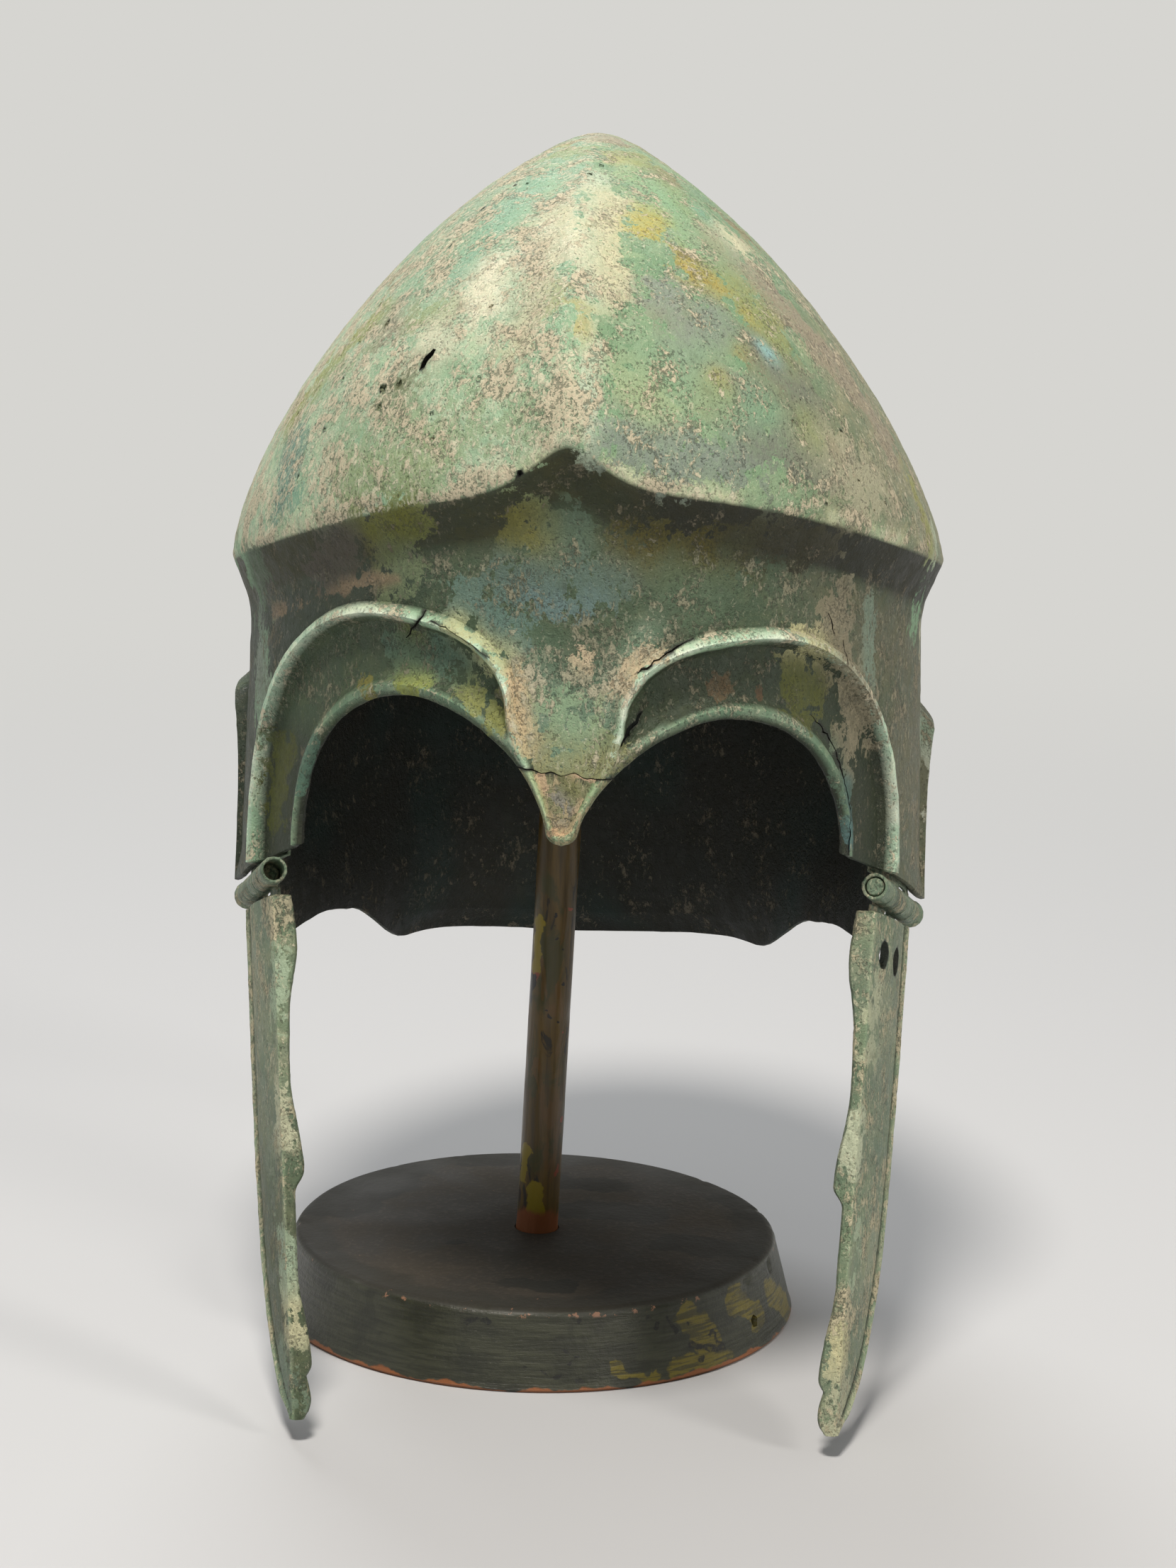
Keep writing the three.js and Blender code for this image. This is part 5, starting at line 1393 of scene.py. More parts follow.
# Patches on the bowl's crown, then its wall: a line of places in the helmet's own millimetres, the
# patch's reach, its colour and its strength
CROWN_PATCHES = (
    (((-13, -34, 238), (-25, -50, 228), (-29, -57, 223)), 7, "8fb18f", 0.9),
    (((-21, -81, 214), (-19, -86, 210)), 6, "90b090", 0.8),
    (((-46, -52, 213), (-53, -58, 203)), 7, "94b394", 0.7),
    (((-36.7, -84.7, 200.7), (-33, -92, 193)), 7, "8aab88", 0.7),
    (((-9.1, -88.3, 213.3), (-8, -92, 209)), 5, "98a376", 0.8),
    (((-37.8, -75, 207.7), (-43.9, -71, 205.1)), 6, "8fa071", 0.75),
    (((-28, -70, 217), (-26, -82, 210)), 7, "ddd9bd", 0.8),
    (((-5, -76, 223), (-9, -66, 228)), 6, "dbd8b9", 0.75),
    (((-40, -80, 201), (-36, -85, 199)), 6, "d9d8bc", 0.7),
    (((-52, -60, 203), (-52, -66, 200)), 6, "908a74", 0.75),
    (((-8, -77, 221), (-12, -72, 223)), 5, "a8a793", 0.6),
    (((-58, -50, 201), (-68, -45, 188), (-76, -40, 174)), 8, "969c5a", 0.85),
    (((-77, -55.5, 169), (-74, -60, 160)), 9, "6f9080", 0.95),
    (((-72, -66, 158), (-50, -90, 166), (-30, -102, 170)), 4, "84b294", 0.8),
    (((-14, -30, 239), (-24, -50, 230), (-34, -66, 215)), 5, "7ba487", 0.75),
    (((-6, -50, 236), (-12, -80, 220), (-16, -96, 202)), 5, "c3c19f", 0.7),
    (((-44, -84, 192), (-52.5, -83, 184.5)), 5, "6d7052", 0.7),
    (((-65.7, -55, 186), (-59, -84, 172)), 9, "98b18f", 0.6),
    (((-17, -107, 184), (-33, -101, 182), (-48, -91, 178)), 10, "94ab86", 0.7),
    (((-40, -100, 173), (-60, -84, 164)), 8, "97a87c", 0.7),
    (((0, -37.5, 240), (0, -67, 229.5), (0, -95, 211), (0, -108, 195), (0, -113, 178)), 3.5, "bccbb0", 0.6),
    (((3, -50, 235), (1.8, -68, 228), (4, -77, 222), (5, -86, 216)), 5, "cac6a2", 0.85),
    (((-2.8, -95, 210.8), (-2, -99, 207)), 4, "b3ae78", 0.8),
    (((8, -18, 243), (13, -30, 239)), 6, "b3b07a", 0.8),
    (((17.5, -50.5, 231), (14.6, -54.5, 230), (12, -60, 229)), 5, "b4a954", 0.9),
    (((25, -66, 220.6), (30, -68, 216)), 6, "a8984a", 0.95),
    (((22, -30, 234), (34, -50, 222)), 5, "7fae93", 0.8),
    (((38, -82, 200), (47, -80, 192)), 5, "a3954a", 0.8),
    (((26, -92, 200), (36, -92, 192)), 6, "7f8a7c", 0.8),
    (((19.9, -86, 209), (23, -84, 209)), 4.5, "8e8b52", 0.9),
    (((40, -70, 208), (43, -68, 206), (44, -72, 203)), 6, "9e9a55", 0.95),
    (((31.3, -93, 195), (32, -96, 191), (32, -98, 188)), 4.5, "aa9f58", 0.9),
    (((10, -14, 243), (17, -34, 236), (34.5, -60, 217.6), (45, -68, 203), (53, -77, 188), (57, -85, 177)), 6,
     "8f9a62", 0.8),
    (((12, -30, 239), (22, -48, 228), (27, -56, 222)), 7, "86ad86", 0.85),
    (((33, -80, 206), (22, -96, 198.6), (14, -98, 200)), 8, "82a07e", 0.8),
    (((33, -97, 186), (40, -95, 183), (44, -88, 189)), 7, "7d9f7e", 0.8),
    (((10, -104, 196), (16, -106, 188)), 7, "9aac83", 0.7),
    (((18, -82, 214), (23, -87, 207), (30, -80, 208)), 7, "848e80", 0.9),
    (((43, -78, 199), (50, -78, 190), (53.7, -75.5, 189.8)), 8, "757a6c", 0.9),
    (((8, -111, 180.7), (21, -108, 177), (40, -99, 175)), 7, "7f8c7e", 0.85),
    (((40, -96, 179), (60, -85, 172)), 6, "74796a", 0.8),
    (((43.6, -76, 201), (45, -75.5, 199)), 2.8, "93bcb9", 0.95),
    (((30, -47, 219), (50, -50, 206), (66, -45, 190), (76, -42, 175)), 8, "9a907a", 0.85),
    (((62, -77, 176.3), (63, -77, 174)), 2, "7d5c40", 0.9),
    (((62, -76, 172), (72, -70, 163)), 10, "aaa88c", 0.8),
)
WALL_PATCHES = (
    (((-45.6, -96.3, 158.5), (-52, -90, 155)), 7, "66691c", 0.95),
    (((-16, -105, 157), (-9, -105, 155)), 6, "6e6c30", 0.95),
    # These two patches on the bevel's right are darkened past their mustard as painted shade under the ridge.
    (((10.6, -105.2, 152.3), (34.4, -98, 151.6)), 7, "4e4812", 0.9),
    (((36, -96, 156), (60, -84, 152)), 6, "2b2a12", 0.85),
    (((-66.9, -72.8, 139.7), (-60, -84, 150.5)), 7, "4b463a", 0.8),
    (((-87.8, -38.7, 132.8), (-85, -44, 138)), 7, "506249", 0.9),
    (((-3, -106, 160), (-2.3, -105.7, 154)), 5, "4f6350", 0.9),
    (((32.6, -99.7, 141.5), (24, -102, 143)), 8, "4c6048", 0.8),
    (((-44, -93, 145), (-45, -92.6, 143)), 7, "6c7a58", 0.8),
    (((-82.4, -47.2, 124.6), (-71, -66, 131), (-54.6, -85.6, 140.8), (-47, -91, 142)), 1.6, "84735a", 0.9),
    (((-12, -105.8, 141.1), (-4, -107.2, 139.4), (3, -107, 141)), 4.5, "647d7c", 0.5),
    (((-30, -103, 139), (-18, -105, 133)), 7, "5f7a6e", 0.7),
    (((-20, -104.5, 147), (8, -106, 146)), 6, "566b60", 0.7),
    (((-16.5, -107, 121), (-16.2, -110, 112), (-12, -111, 104)), 3.2, "d2bd98", 0.9),
    (((9, -108.5, 120), (13, -108, 124), (17, -107, 127)), 3.0, "c4b595", 0.85),
    (((-1, -108.7, 127), (2, -109, 124)), 3.0, "c0af90", 0.8),
    (((-6, -111, 101), (4, -111, 102)), 7, "8f9166", 0.8),
    (((-6, -110, 115), (-1, -110, 110)), 6, "8aa583", 0.7),
    (((63, -77, 132), (69, -73, 118), (72, -68, 100)), 8, "8a836b", 0.8),
    (((73.4, -64, 132), (74, -64.5, 115)), 4, "7d8f7c", 0.8),
    (((60.4, -83.6, 126.5), (55, -86, 130)), 4, "c2bf92", 0.8),
    (((-31, -103, 132), (-22, -105, 125)), 4.5, "bfc292", 0.75),
    (((-43, -94, 125.5), (-42.5, -94, 122)), 5, "646a2c", 0.9),
    (((-43.9, -96.8, 116.4), (-40, -97, 117)), 2.8, "98a048", 0.95),
    (((-55.7, -85.8, 114.7), (-52, -88, 112)), 3, "7a7634", 0.8),
    (((-36, -95, 126), (-30, -98, 122), (-50, -92, 124)), 5, "56705c", 0.8),
    (((-26, -103, 113), (-22, -106, 110)), 5, "858a4e", 0.8),
    (((33.4, -99.4, 118.9), (34, -99, 117)), 3, "54452c", 0.9),
    (((45, -93.2, 116), (45, -93, 115)), 2, "4c3c26", 0.9),
    (((56.7, -85.5, 116), (60, -82, 113)), 7, "50551f", 0.9),
    (((-80.8, -52.3, 72), (-78.5, -55.5, 90)), 6, "464b12", 0.95),
    (((-69, -74.8, 95.3), (-72, -71.1, 84)), 4, "557562", 0.9),
    (((70, -74, 87), (70, -74.5, 74)), 3.2, "4b6c6c", 0.9),
    (((61, -78, 96), (66, -75, 84)), 5, "546e58", 0.7),
    (((95, -6, 88), (97, -4, 70)), 8, "b4b8a6", 0.8),
)
# Colours of the patches on the sides and back
ROUND_THE_BACK = (
    "8fb18f", "9a9c5a", "848e80", "dcd8b6", "86ad86", "9a907a", "8fa071", "7d9f7e", "b9c6ac", "8b8160",
)


def scattered_patches(piece, count, seed):
    """Patches for the sides and back, which the photograph doesn't show."""
    rng = np.random.default_rng(seed)
    at = points_of(piece) - HELMET_AT
    level, inside = kept_marks(piece, "level"), kept_marks(piece, "inside")
    unseen = (at[:, 1] > -45) & (np.abs(at[:, 0]) > 8 * (at[:, 1] < 0))
    there = np.flatnonzero((level > DOME) & (inside < 0.1) & unseen)
    patches = []
    for i in range(count):
        a = at[there[rng.integers(len(there))]]
        b = a + rng.normal(0, 5, 3) - np.array((0, 0, rng.uniform(0, 9)))
        colour = ROUND_THE_BACK[i % len(ROUND_THE_BACK)]
        patches.append(((a, b), rng.uniform(3, 8), colour, rng.uniform(0.5, 0.85)))
    return tuple(patches)


def bowl_layers(piece):
    """The bowl's ground colours: a mint dome, a dark bevel and wall, pale rolls and an olive inside, partly
    painted light and shade.
    """
    at = points_of(piece) - HELMET_AT
    level, relief, inside = (kept_marks(piece, label) for label in ("level", "relief", "inside"))
    across = at[:, 0] + 8 * roughen(at, 24, 81)
    right = smooth((across + 2) / 8)
    far_right = smooth((across - 40) / 26)
    front = at[:, 1] < 0
    left_side = smooth((-at[:, 0] - 30) / 25) * front
    right_side = smooth((at[:, 0] - 4) / 20) * front
    strut = smooth((104 - at[:, 2]) / 16) * smooth((np.abs(at[:, 0]) - 50) / 8) * front
    bevel = smooth((level - BEVEL) / 0.14)
    wall = smooth((level - WALL + 0.15) / 0.3)
    nose = smooth((24 - np.abs(at[:, 0])) / 12) * front * smooth((level - WALL - 0.35) / 0.4)
    band = smooth((level - BAND) / 0.03)
    raised = smooth((relief - 0.5) / 1.2)
    crest = smooth((relief - 2.0) / 0.9)
    bead = smooth((level - BAND - 0.55) / 0.1) * band
    ridge = np.exp(-(((level - BEVEL) / 0.035) ** 2)) * smooth(0.6 + 1.6 * roughen(at, 14, 82))
    return (
        # The second layer darkens the dome towards its top: painted shade that tones down the key lamp there.
        (1.0, "acc2a2", 0.68), (smooth((at[:, 2] - 185) / 50), "90a98a", 0.6), (right, "88a17e", 0.34),
        (far_right, "8b8c70", 0.38),
        (smooth((at[:, 1] + 10) / 40), "90a98a", 0.5),
        # The bevel's dark olive, darkest on the right, is partly its colour and partly painted shade under
        # the ridge.
        (bevel, "33351a", 0.12), (bevel * right_side, "1d1e0a", 0.06),
        # The wall's dark grey-green is partly painted shade below the ridge, and its left side is darker as
        # painted shade.
        (wall, "4b5841", 0.36), (wall * left_side, "30392a", 0.24),
        (wall * smooth((at[:, 0] - 45) / 25), "5f614a", 0.34), (nose, "778c75", 0.44),
        (band, "435038", 0.26), (band * right_side, "2c3622", 0.2), (band * strut, "272f1c", 0.14),
        # The rolls' pale mint is partly a painted highlight, and their crests carry a brighter painted
        # highlight.
        (raised * band, "b0c6a8", 0.34), (crest * band, "dbe8d2", 0.3), (raised * bead, "6c856b", 0.26),
        # The pale ridge line is a worn edge with a painted highlight, and the inside's near black is partly
        # painted shade.
        (ridge, "c6cda8", 0.7), (inside, "1e1f15", 0.1),
        (inside * smooth(1.5 * roughen(at, 30, 83)), "1c2d27", 0.12),
        (smooth((0.6 - level) / 0.2), "1d1f17", 0.0),
    )


bowl_finish = bronze_finish("bowl_patina", "dad5b9", "cdc0a5", "34382a")
paint(bowl, bowl_layers(bowl), CROWN_PATCHES + WALL_PATCHES + scattered_patches(bowl, 70, 8))
weather(bowl, bowl_finish, 3, dents=0.5)
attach(bowl, "helmet")
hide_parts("bowl")

# Nasal tip
# The nasal's blunt end, cracked clean off the bowl and held in place by its crust. It is greyer
# than the wall above it, with cream patches along its edges.

# Patches on the nasal: places in x and height, the patch's reach, its colour and its strength
NASAL_PATCHES = (
    (((-9.8, 96.4), (-8.8, 93.2)), 1.3, "c9ad8c", 0.85), (((-8.2, 89.5), (-7.5, 87)), 0.9, "b7a384", 0.7),
    (((-2, 98), (2, 97.2), (4.2, 96)), 1.2, "cfb293", 0.9), (((1.2, 91), (-1, 88)), 0.8, "c2ae8c", 0.75),
    (((-6.6, 82.6), (-1.6, 82.6)), 1.1, "c8a883", 0.85), (((-5.5, 85.5), (-3, 85)), 1.2, "a39a80", 0.7),
    (((-4.6, 91.5), (-3, 89)), 2.2, "85837a", 0.7), (((-3, 96), (-2, 93)), 2.4, "72744a", 0.7),
    (((-11, 95), (-8, 87)), 0.9, "8a9c66", 0.6),
)


def on_wall(x, height):
    """A place on the wall's outside, seen from the front."""
    return tuple(wall_point(angle_at_x(x, height), height))


nasal_finish = bronze_finish("nasal_patina", "cfc4a2", "c2ae8c", "3c3d30")
nasal_relief = kept_marks(nasal, "relief")
paint(nasal, (
    (1.0, "7b7d5b", 0.36), (smooth((nasal_relief - 0.3) / 0.9), "93a67e", 0.3),
    (smooth((nasal_relief - 1.2) / 0.4), "a9ba92", 0.24),
    (kept_marks(nasal, "inside"), "4a4a35", 0.1),
    (smooth((0.6 - kept_marks(nasal, "level")) / 0.2), "2a2c22", 0.0),
), [([on_wall(*spot) for spot in line], *rest) for line, *rest in NASAL_PATCHES])
weather(nasal, nasal_finish, 4)
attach(nasal, "helmet")
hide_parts("nasal_tip")

# Hinges of the cheekpieces
# Each is two leaves cut from thin sheet, with tabs rolled round a bronze pin. One leaf is riveted
# inside the bowl's edge and the other behind the cheekpiece. The pin ends in a ball at the rear.

LEAF_VOXEL = 0.3
LEAF_WEAR = 2
WELD_GAP = 0.0005
HINGE_FRONT_INSET, HINGE_REAR_INSET, HINGE_SKEW = -0.8, 2.3, 1.0

# Each side's sign along x, and the lean of its cheekpiece about its pin
SIDES = {"left": 1, "right": -1}
LEAN = {"left": math.radians(-1.3), "right": math.radians(0.4)}


class Hinge:
    """The axis of one hinge and its three directions, in the helmet's own millimetres."""

    def __init__(self, side, tilt):
        def at(y, height, inset):
            x, depth, _ = wall_point(angle_at_y(y, height), height)
            return Vector((side * (x - inset), depth, height))

        self.side = side
        self.front = at(*HINGE_FRONT, HINGE_FRONT_INSET + side * HINGE_SKEW)
        rear = at(*HINGE_REAR, HINGE_REAR_INSET)
        self.axis = (rear - self.front).normalized()
        self.back = Vector((self.axis.x, self.axis.y, 0)).normalized()
        self.out = Vector((self.back.y, -self.back.x, 0)) * side
        up = self.axis.cross(self.out) * side
        self.up = (up if up.z > 0 else -up).normalized()
        self.turn = Matrix.Rotation(tilt * side, 3, self.axis)

    def place(self, along_axis, outwards, upwards):
        return self.front + self.axis * along_axis + self.out * outwards + self.up * upwards

    def hung(self, point):
        """Where a point of the cheekpiece is in the scene, at the lean that it hangs with."""
        return self.turn @ (Vector(point) - self.front) + self.front + Vector(HELMET_AT)


def remeshed(name, node):
    """A node's shape as a fine even mesh with its edges worn soft."""
    work = bmesh.new()
    work.from_mesh(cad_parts[node].data)
    bmesh.ops.remove_doubles(work, verts=work.verts, dist=WELD_GAP * MM)
    mesh = bpy.data.meshes.new(name)
    work.to_mesh(mesh)
    work.free()
    mesh.materials.clear()
    piece = linked(name, mesh)
    change = piece.modifiers.new("even", "REMESH")
    change.mode = "VOXEL"
    change.voxel_size = LEAF_VOXEL * MM
    ease = piece.modifiers.new("worn", "SMOOTH")
    ease.iterations = LEAF_WEAR
    ease.factor = 0.5
    settle(piece)
    return piece


hinge_finish = bronze_finish("hinge_patina", "cbc6a8", "b9ab8e", "2b2e24")
hinges = {name: Hinge(side, LEAN[name]) for name, side in SIDES.items()}
for name in SIDES:
    for part, node, body in (
        ("bowl_leaf", f"hinge_leaf_{name}", "helmet"),
        ("pin", f"hinge_pin_{name}", "helmet"),
        ("plate_leaf", f"cheek_leaf_{name}", f"cheek_{name}"),
    ):
        piece = remeshed(f"{part}_{name}", node)
        paint(piece, ((1.0, "788570", 0.4), (smooth(roughen(points_of(piece), 7, 90)), "56624f", 0.3)), ())
        weather(piece, hinge_finish, 40, dents=0.05, crust=0.08, hollows=0.1, crust_size=2.0,
                hollow_size=1.6)
        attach(piece, body)
        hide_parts(node)

# Cheekpieces
# Long plates of sheet bronze, each with a narrow front band bent in along a straight edge, two
# cusps down it, and a raised bead along the rear. The wearer's left one has two round holes.

CHEEK_THICKNESS = 2.2
CHEEK_DROP = 139.5
CHEEK_FORWARD = 36.0
CHEEK_TOP_DEPTH = 40.0
CHEEK_TOP_GAP = 1.6
CHEEK_FRONT_GAP = 1.4
CHEEK_FRONT_DROP = 1.5
CHEEK_BAND_ANGLE = math.radians(67)
CHEEK_BAND_TOP = 2.8
CHEEK_BAND_SWELL = 1.6
CHEEK_SWELL_DROP = 12.5
CHEEK_SWELL_SPAN = 16.7
CHEEK_BAND_WAIST = 0.8
CHEEK_WAIST_DROP = 46.5
CUSP_WIDTH = 2.7
CUSP_RUN = 23.7
CUSP_STEP = 6.0
CUSPS = (69.5, 118.5)
CHEEK_TIP_SWELL = 2.2
CHEEK_TIP_SWELL_DROP = 128.0
CHEEK_TIP_SWELL_SPAN = 12.0
CHEEK_TIP_WIDTH = 4.4
CHEEK_TIP_ROUND = 6.0
CHEEK_TIP_LIFT = 0.8
TIP_SHARE = 0.35
CHEEK_REAR_UPPER = (0.2, 0.45)
CHEEK_REAR_LOWER = (0.28, 0.93)
CHEEK_BULGE, CHEEK_BULGE_POWER = 1.6, 3
CHEEK_BEAD, CHEEK_BEAD_AT, CHEEK_BEAD_SPAN = 1.1, 1.3, 2.6
CHEEK_BEAD_FADE = 12.0
CHEEK_GROOVE, CHEEK_GROOVE_AT, CHEEK_GROOVE_SPAN = 0.5, 4.6, 1.7
HOLE_RADIUS = 3.8
HOLE_SPACING = 13.0
HOLE_SETBACK = 11.0
HOLE_DROP = 13.0
HOLE_WAVER = 0.1
ARRIS_OUT = (0.62, 0.72)
ARRIS_SHINE = 0.5
CHEEK_ROWS, BAND_COLUMNS, FACE_COLUMNS = 170, 7, 40
CHEEK_ROW_POWER, CHEEK_COLUMN_POWER = 1.3, 1.25


def bezier(a, b, c, d, t):
    return tuple((1 - t) ** 3 * p + 3 * (1 - t) ** 2 * t * q + 3 * (1 - t) * t * t * r + t ** 3 * s
                 for p, q, r, s in zip(a, b, c, d))


def band_width(below):
    """How wide the front band is, at a depth below the plate's top: a swell, two cusps and the tip."""
    plain = mix(CHEEK_BAND_TOP, CHEEK_BAND_WAIST, float(smooth(below / CHEEK_WAIST_DROP)))
    swell = CHEEK_BAND_SWELL * float(hump((below - CHEEK_SWELL_DROP) / CHEEK_SWELL_SPAN))
    cusps = [CUSP_WIDTH * float(hump((below - c) / (CUSP_RUN if below < c else CUSP_STEP))) for c in CUSPS]
    low = CHEEK_TIP_SWELL * float(hump((below - CHEEK_TIP_SWELL_DROP) / CHEEK_TIP_SWELL_SPAN))
    return plain + swell + max(*cusps, low)


def cheek_plate(name, hinge):
    """A bent plate: its rows run down, its columns from the band's edge over the arris to the rear."""
    def flat(point):
        return (point - hinge.front).dot(hinge.back), point.z

    top = -(BARREL_RADIUS + CHEEK_TOP_GAP)
    rear = flat(hinge.place(CHEEK_TOP_DEPTH, 0, top))
    front = flat(hinge.place(CHEEK_FRONT_GAP, 0, top - CHEEK_FRONT_DROP))
    tip = (-CHEEK_FORWARD, hinge.front.z - CHEEK_DROP)
    handles = [(mix(rear[0], tip[0], a), mix(rear[1], tip[1], b))
               for a, b in (CHEEK_REAR_UPPER, CHEEK_REAR_LOWER)]
    rear_line = (rear, *handles, (tip[0] + CHEEK_TIP_WIDTH, tip[1] + CHEEK_TIP_LIFT))
    half = CHEEK_THICKNESS / 2
    bend = CHEEK_BAND_ANGLE

    def put(a, outwards, height):
        point = hinge.front + hinge.back * a + hinge.out * outwards
        return point.x, point.y, height

    outer, inner, levels, raised_by = [], [], [], []
    for i in range(CHEEK_ROWS):
        share = 1 - (1 - i / (CHEEK_ROWS - 1)) ** CHEEK_ROW_POWER
        arris = mix(front[0], tip[0], share), mix(front[1], tip[1], share)
        behind = bezier(*rear_line, share)
        into = min(1.0, max(0.0, 1 - (arris[1] - tip[1]) / CHEEK_TIP_ROUND))
        closing = math.sqrt(1 - into * into * (1 - TIP_SHARE ** 2))
        wide = band_width(front[1] - arris[1]) * closing
        depth = math.hypot(behind[0] - arris[0], behind[1] - arris[1])
        bead = CHEEK_BEAD * float(smooth(depth / CHEEK_BEAD_FADE))

        def band(t, outwards):
            return put(arris[0] - wide * t * math.cos(bend) - outwards * math.sin(bend),
                       -wide * t * math.sin(bend) + outwards * math.cos(bend) - half * t, arris[1])

        def face(t, outwards):
            bulge = CHEEK_BULGE * math.sin(t * math.pi) * (1 - share ** CHEEK_BULGE_POWER)
            reach = t * closing
            return put(mix(arris[0], behind[0], reach), bulge + outwards, mix(arris[1], behind[1], reach))

        for k in range(BAND_COLUMNS):
            t = 1 - k / BAND_COLUMNS
            outer.append(band(t, half))
            inner.append(band(t, -half))
        outer.append(put(arris[0] - half * ARRIS_OUT[0], half * ARRIS_OUT[1], arris[1]))
        inner.append(put(arris[0] + half, -half, arris[1]))
        levels += [1 + share] * (BAND_COLUMNS + 1 + FACE_COLUMNS)
        # The arris is given a relief value only so that it takes the pale colour: a painted highlight.
        raised_by += [0.0] * BAND_COLUMNS + [ARRIS_SHINE]
        for j in range(1, FACE_COLUMNS + 1):
            t = 1 - (1 - j / FACE_COLUMNS) ** CHEEK_COLUMN_POWER
            from_rear = depth * closing * (1 - t)
            raised = bead * float(hump((from_rear - CHEEK_BEAD_AT) / CHEEK_BEAD_SPAN))
            groove = CHEEK_GROOVE * bead * float(hump((from_rear - CHEEK_GROOVE_AT) / CHEEK_GROOVE_SPAN))
            outer.append(face(t, half + raised - groove))
            inner.append(face(t, -half))
            raised_by.append(raised - groove)
    columns = BAND_COLUMNS + 1 + FACE_COLUMNS
    faces = []
    for i in range(CHEEK_ROWS - 1):
        for j in range(columns - 1):
            corner = i * columns + j
            face = (corner, corner + columns, corner + columns + 1, corner + 1)
            faces.append(face if hinge.side > 0 else face[::-1])
    none = np.zeros(len(outer))
    marks = {"level": (levels, levels), "relief": (raised_by, none), "inside": (none, none + 1)}
    outer, inner = ([hinge.hung(p) for p in points] for points in (outer, inner))
    return shell(name, outer, inner, faces, faces, range(len(outer)), marks)


def cheek_layers(piece):
    """A plate's ground colours: grey-green, pale on the arris as a painted highlight and on the bead, dark in
    the groove.
    """
    at = points_of(piece) - HELMET_AT
    level, relief, inside = (kept_marks(piece, label) for label in ("level", "relief", "inside"))
    mottled = smooth(0.5 + 1.5 * roughen(at, 16, 95))
    shaded = smooth((10 - at[:, 2]) / 50) * (at[:, 0] < 0)
    return (
        (1.0, "838c71", 0.42), (mottled, "737f68", 0.36), (shaded, "4f583f", 0.3),
        # Pale on the raised bead, and on the arris as a painted highlight
        (smooth(relief / 0.8), "a0ab8d", 0.46),
        (smooth(-relief / 0.25), "3a3f30", 0.05), (inside, "626a54", 0.34),
        (smooth((0.6 - level) / 0.2), "2b2e26", 0.0),
    )


# Patches on the cheekpieces: places in the helmet's own millimetres, reach, colour and strength
CHEEK_PATCHES = (
    (((-76.5, -79.8, -8.7), (-77, -77, 2)), 4, "c2c3a4", 0.8),
    (((-71.1, -94.1, -58.4), (-72, -91, -50)), 4, "c2bf9a", 0.8),
    (((74.4, -82.5, -11.1), (74.6, -80, -1)), 4, "bcc3a6", 0.8),
    (((71.1, -95.9, -63.2), (71.6, -93, -55)), 3.5, "c4bf95", 0.8),
    (((-78, -71, 36), (-78.5, -73, 22)), 5, "a3b699", 0.7),
    (((-74, -86, -35), (-73, -90, -46)), 5, "9bad92", 0.7),
    (((-73, -88, -70), (-70, -95, -80)), 7, "6f826c", 0.7),
    (((80, -68, 30), (79, -70, 16)), 6, "b2b798", 0.7),
    (((76, -82, -30), (74, -87, -44)), 5, "a3b396", 0.6),
    (((72, -93, -70), (69, -97, -82)), 6, "b0b295", 0.7),
    (((78, -60, 10), (74, -72, -20)), 7, "76836c", 0.6),
    (((-80, -60, 10), (-77, -72, -20)), 7, "76836c", 0.6),
)
cheek_finish = bronze_finish("cheek_patina", "d9d4b6", "c9bd9e", "33362a")
for name, hinge in hinges.items():
    plate = cheek_plate(f"cheekplate_{name}", hinge)
    if name == "left":
        way = hinge.turn @ hinge.out
        for i in range(2):
            middle = hinge.hung(hinge.place(HOLE_SETBACK + i * HOLE_SPACING, 0, -HOLE_DROP - BARREL_RADIUS))
            punch = turned("punch", [(0, 0), (HOLE_RADIUS, 0), (HOLE_RADIUS, 20), (0, 20)], 48,
                           middle - way * 10, way)
            at = points_of(punch)
            waver = HOLE_WAVER * roughen(at, 3.0, 60 + i)
            set_points(punch, at + (at - np.array(middle)) * waver[:, None])
            cut(plate, punch)
    paint(plate, cheek_layers(plate), CHEEK_PATCHES)
    weather(plate, cheek_finish, 50, dents=0.3, crust=0.16)
    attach(plate, f"cheek_{name}")
    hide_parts(f"cheekpiece_{name}")

# Rivets of the hinge leaves
# Two small domed bronze rivets hold each leaf to its sheet. Their heads are on the inside, and
# their shanks are hammered flush outside.

RIVET_RADIUS = 1.5
RIVET_HEAD_RADIUS = 2.6
RIVET_HEAD_HEIGHT = 1.1
RIVET_RIM_BAND = 0.05


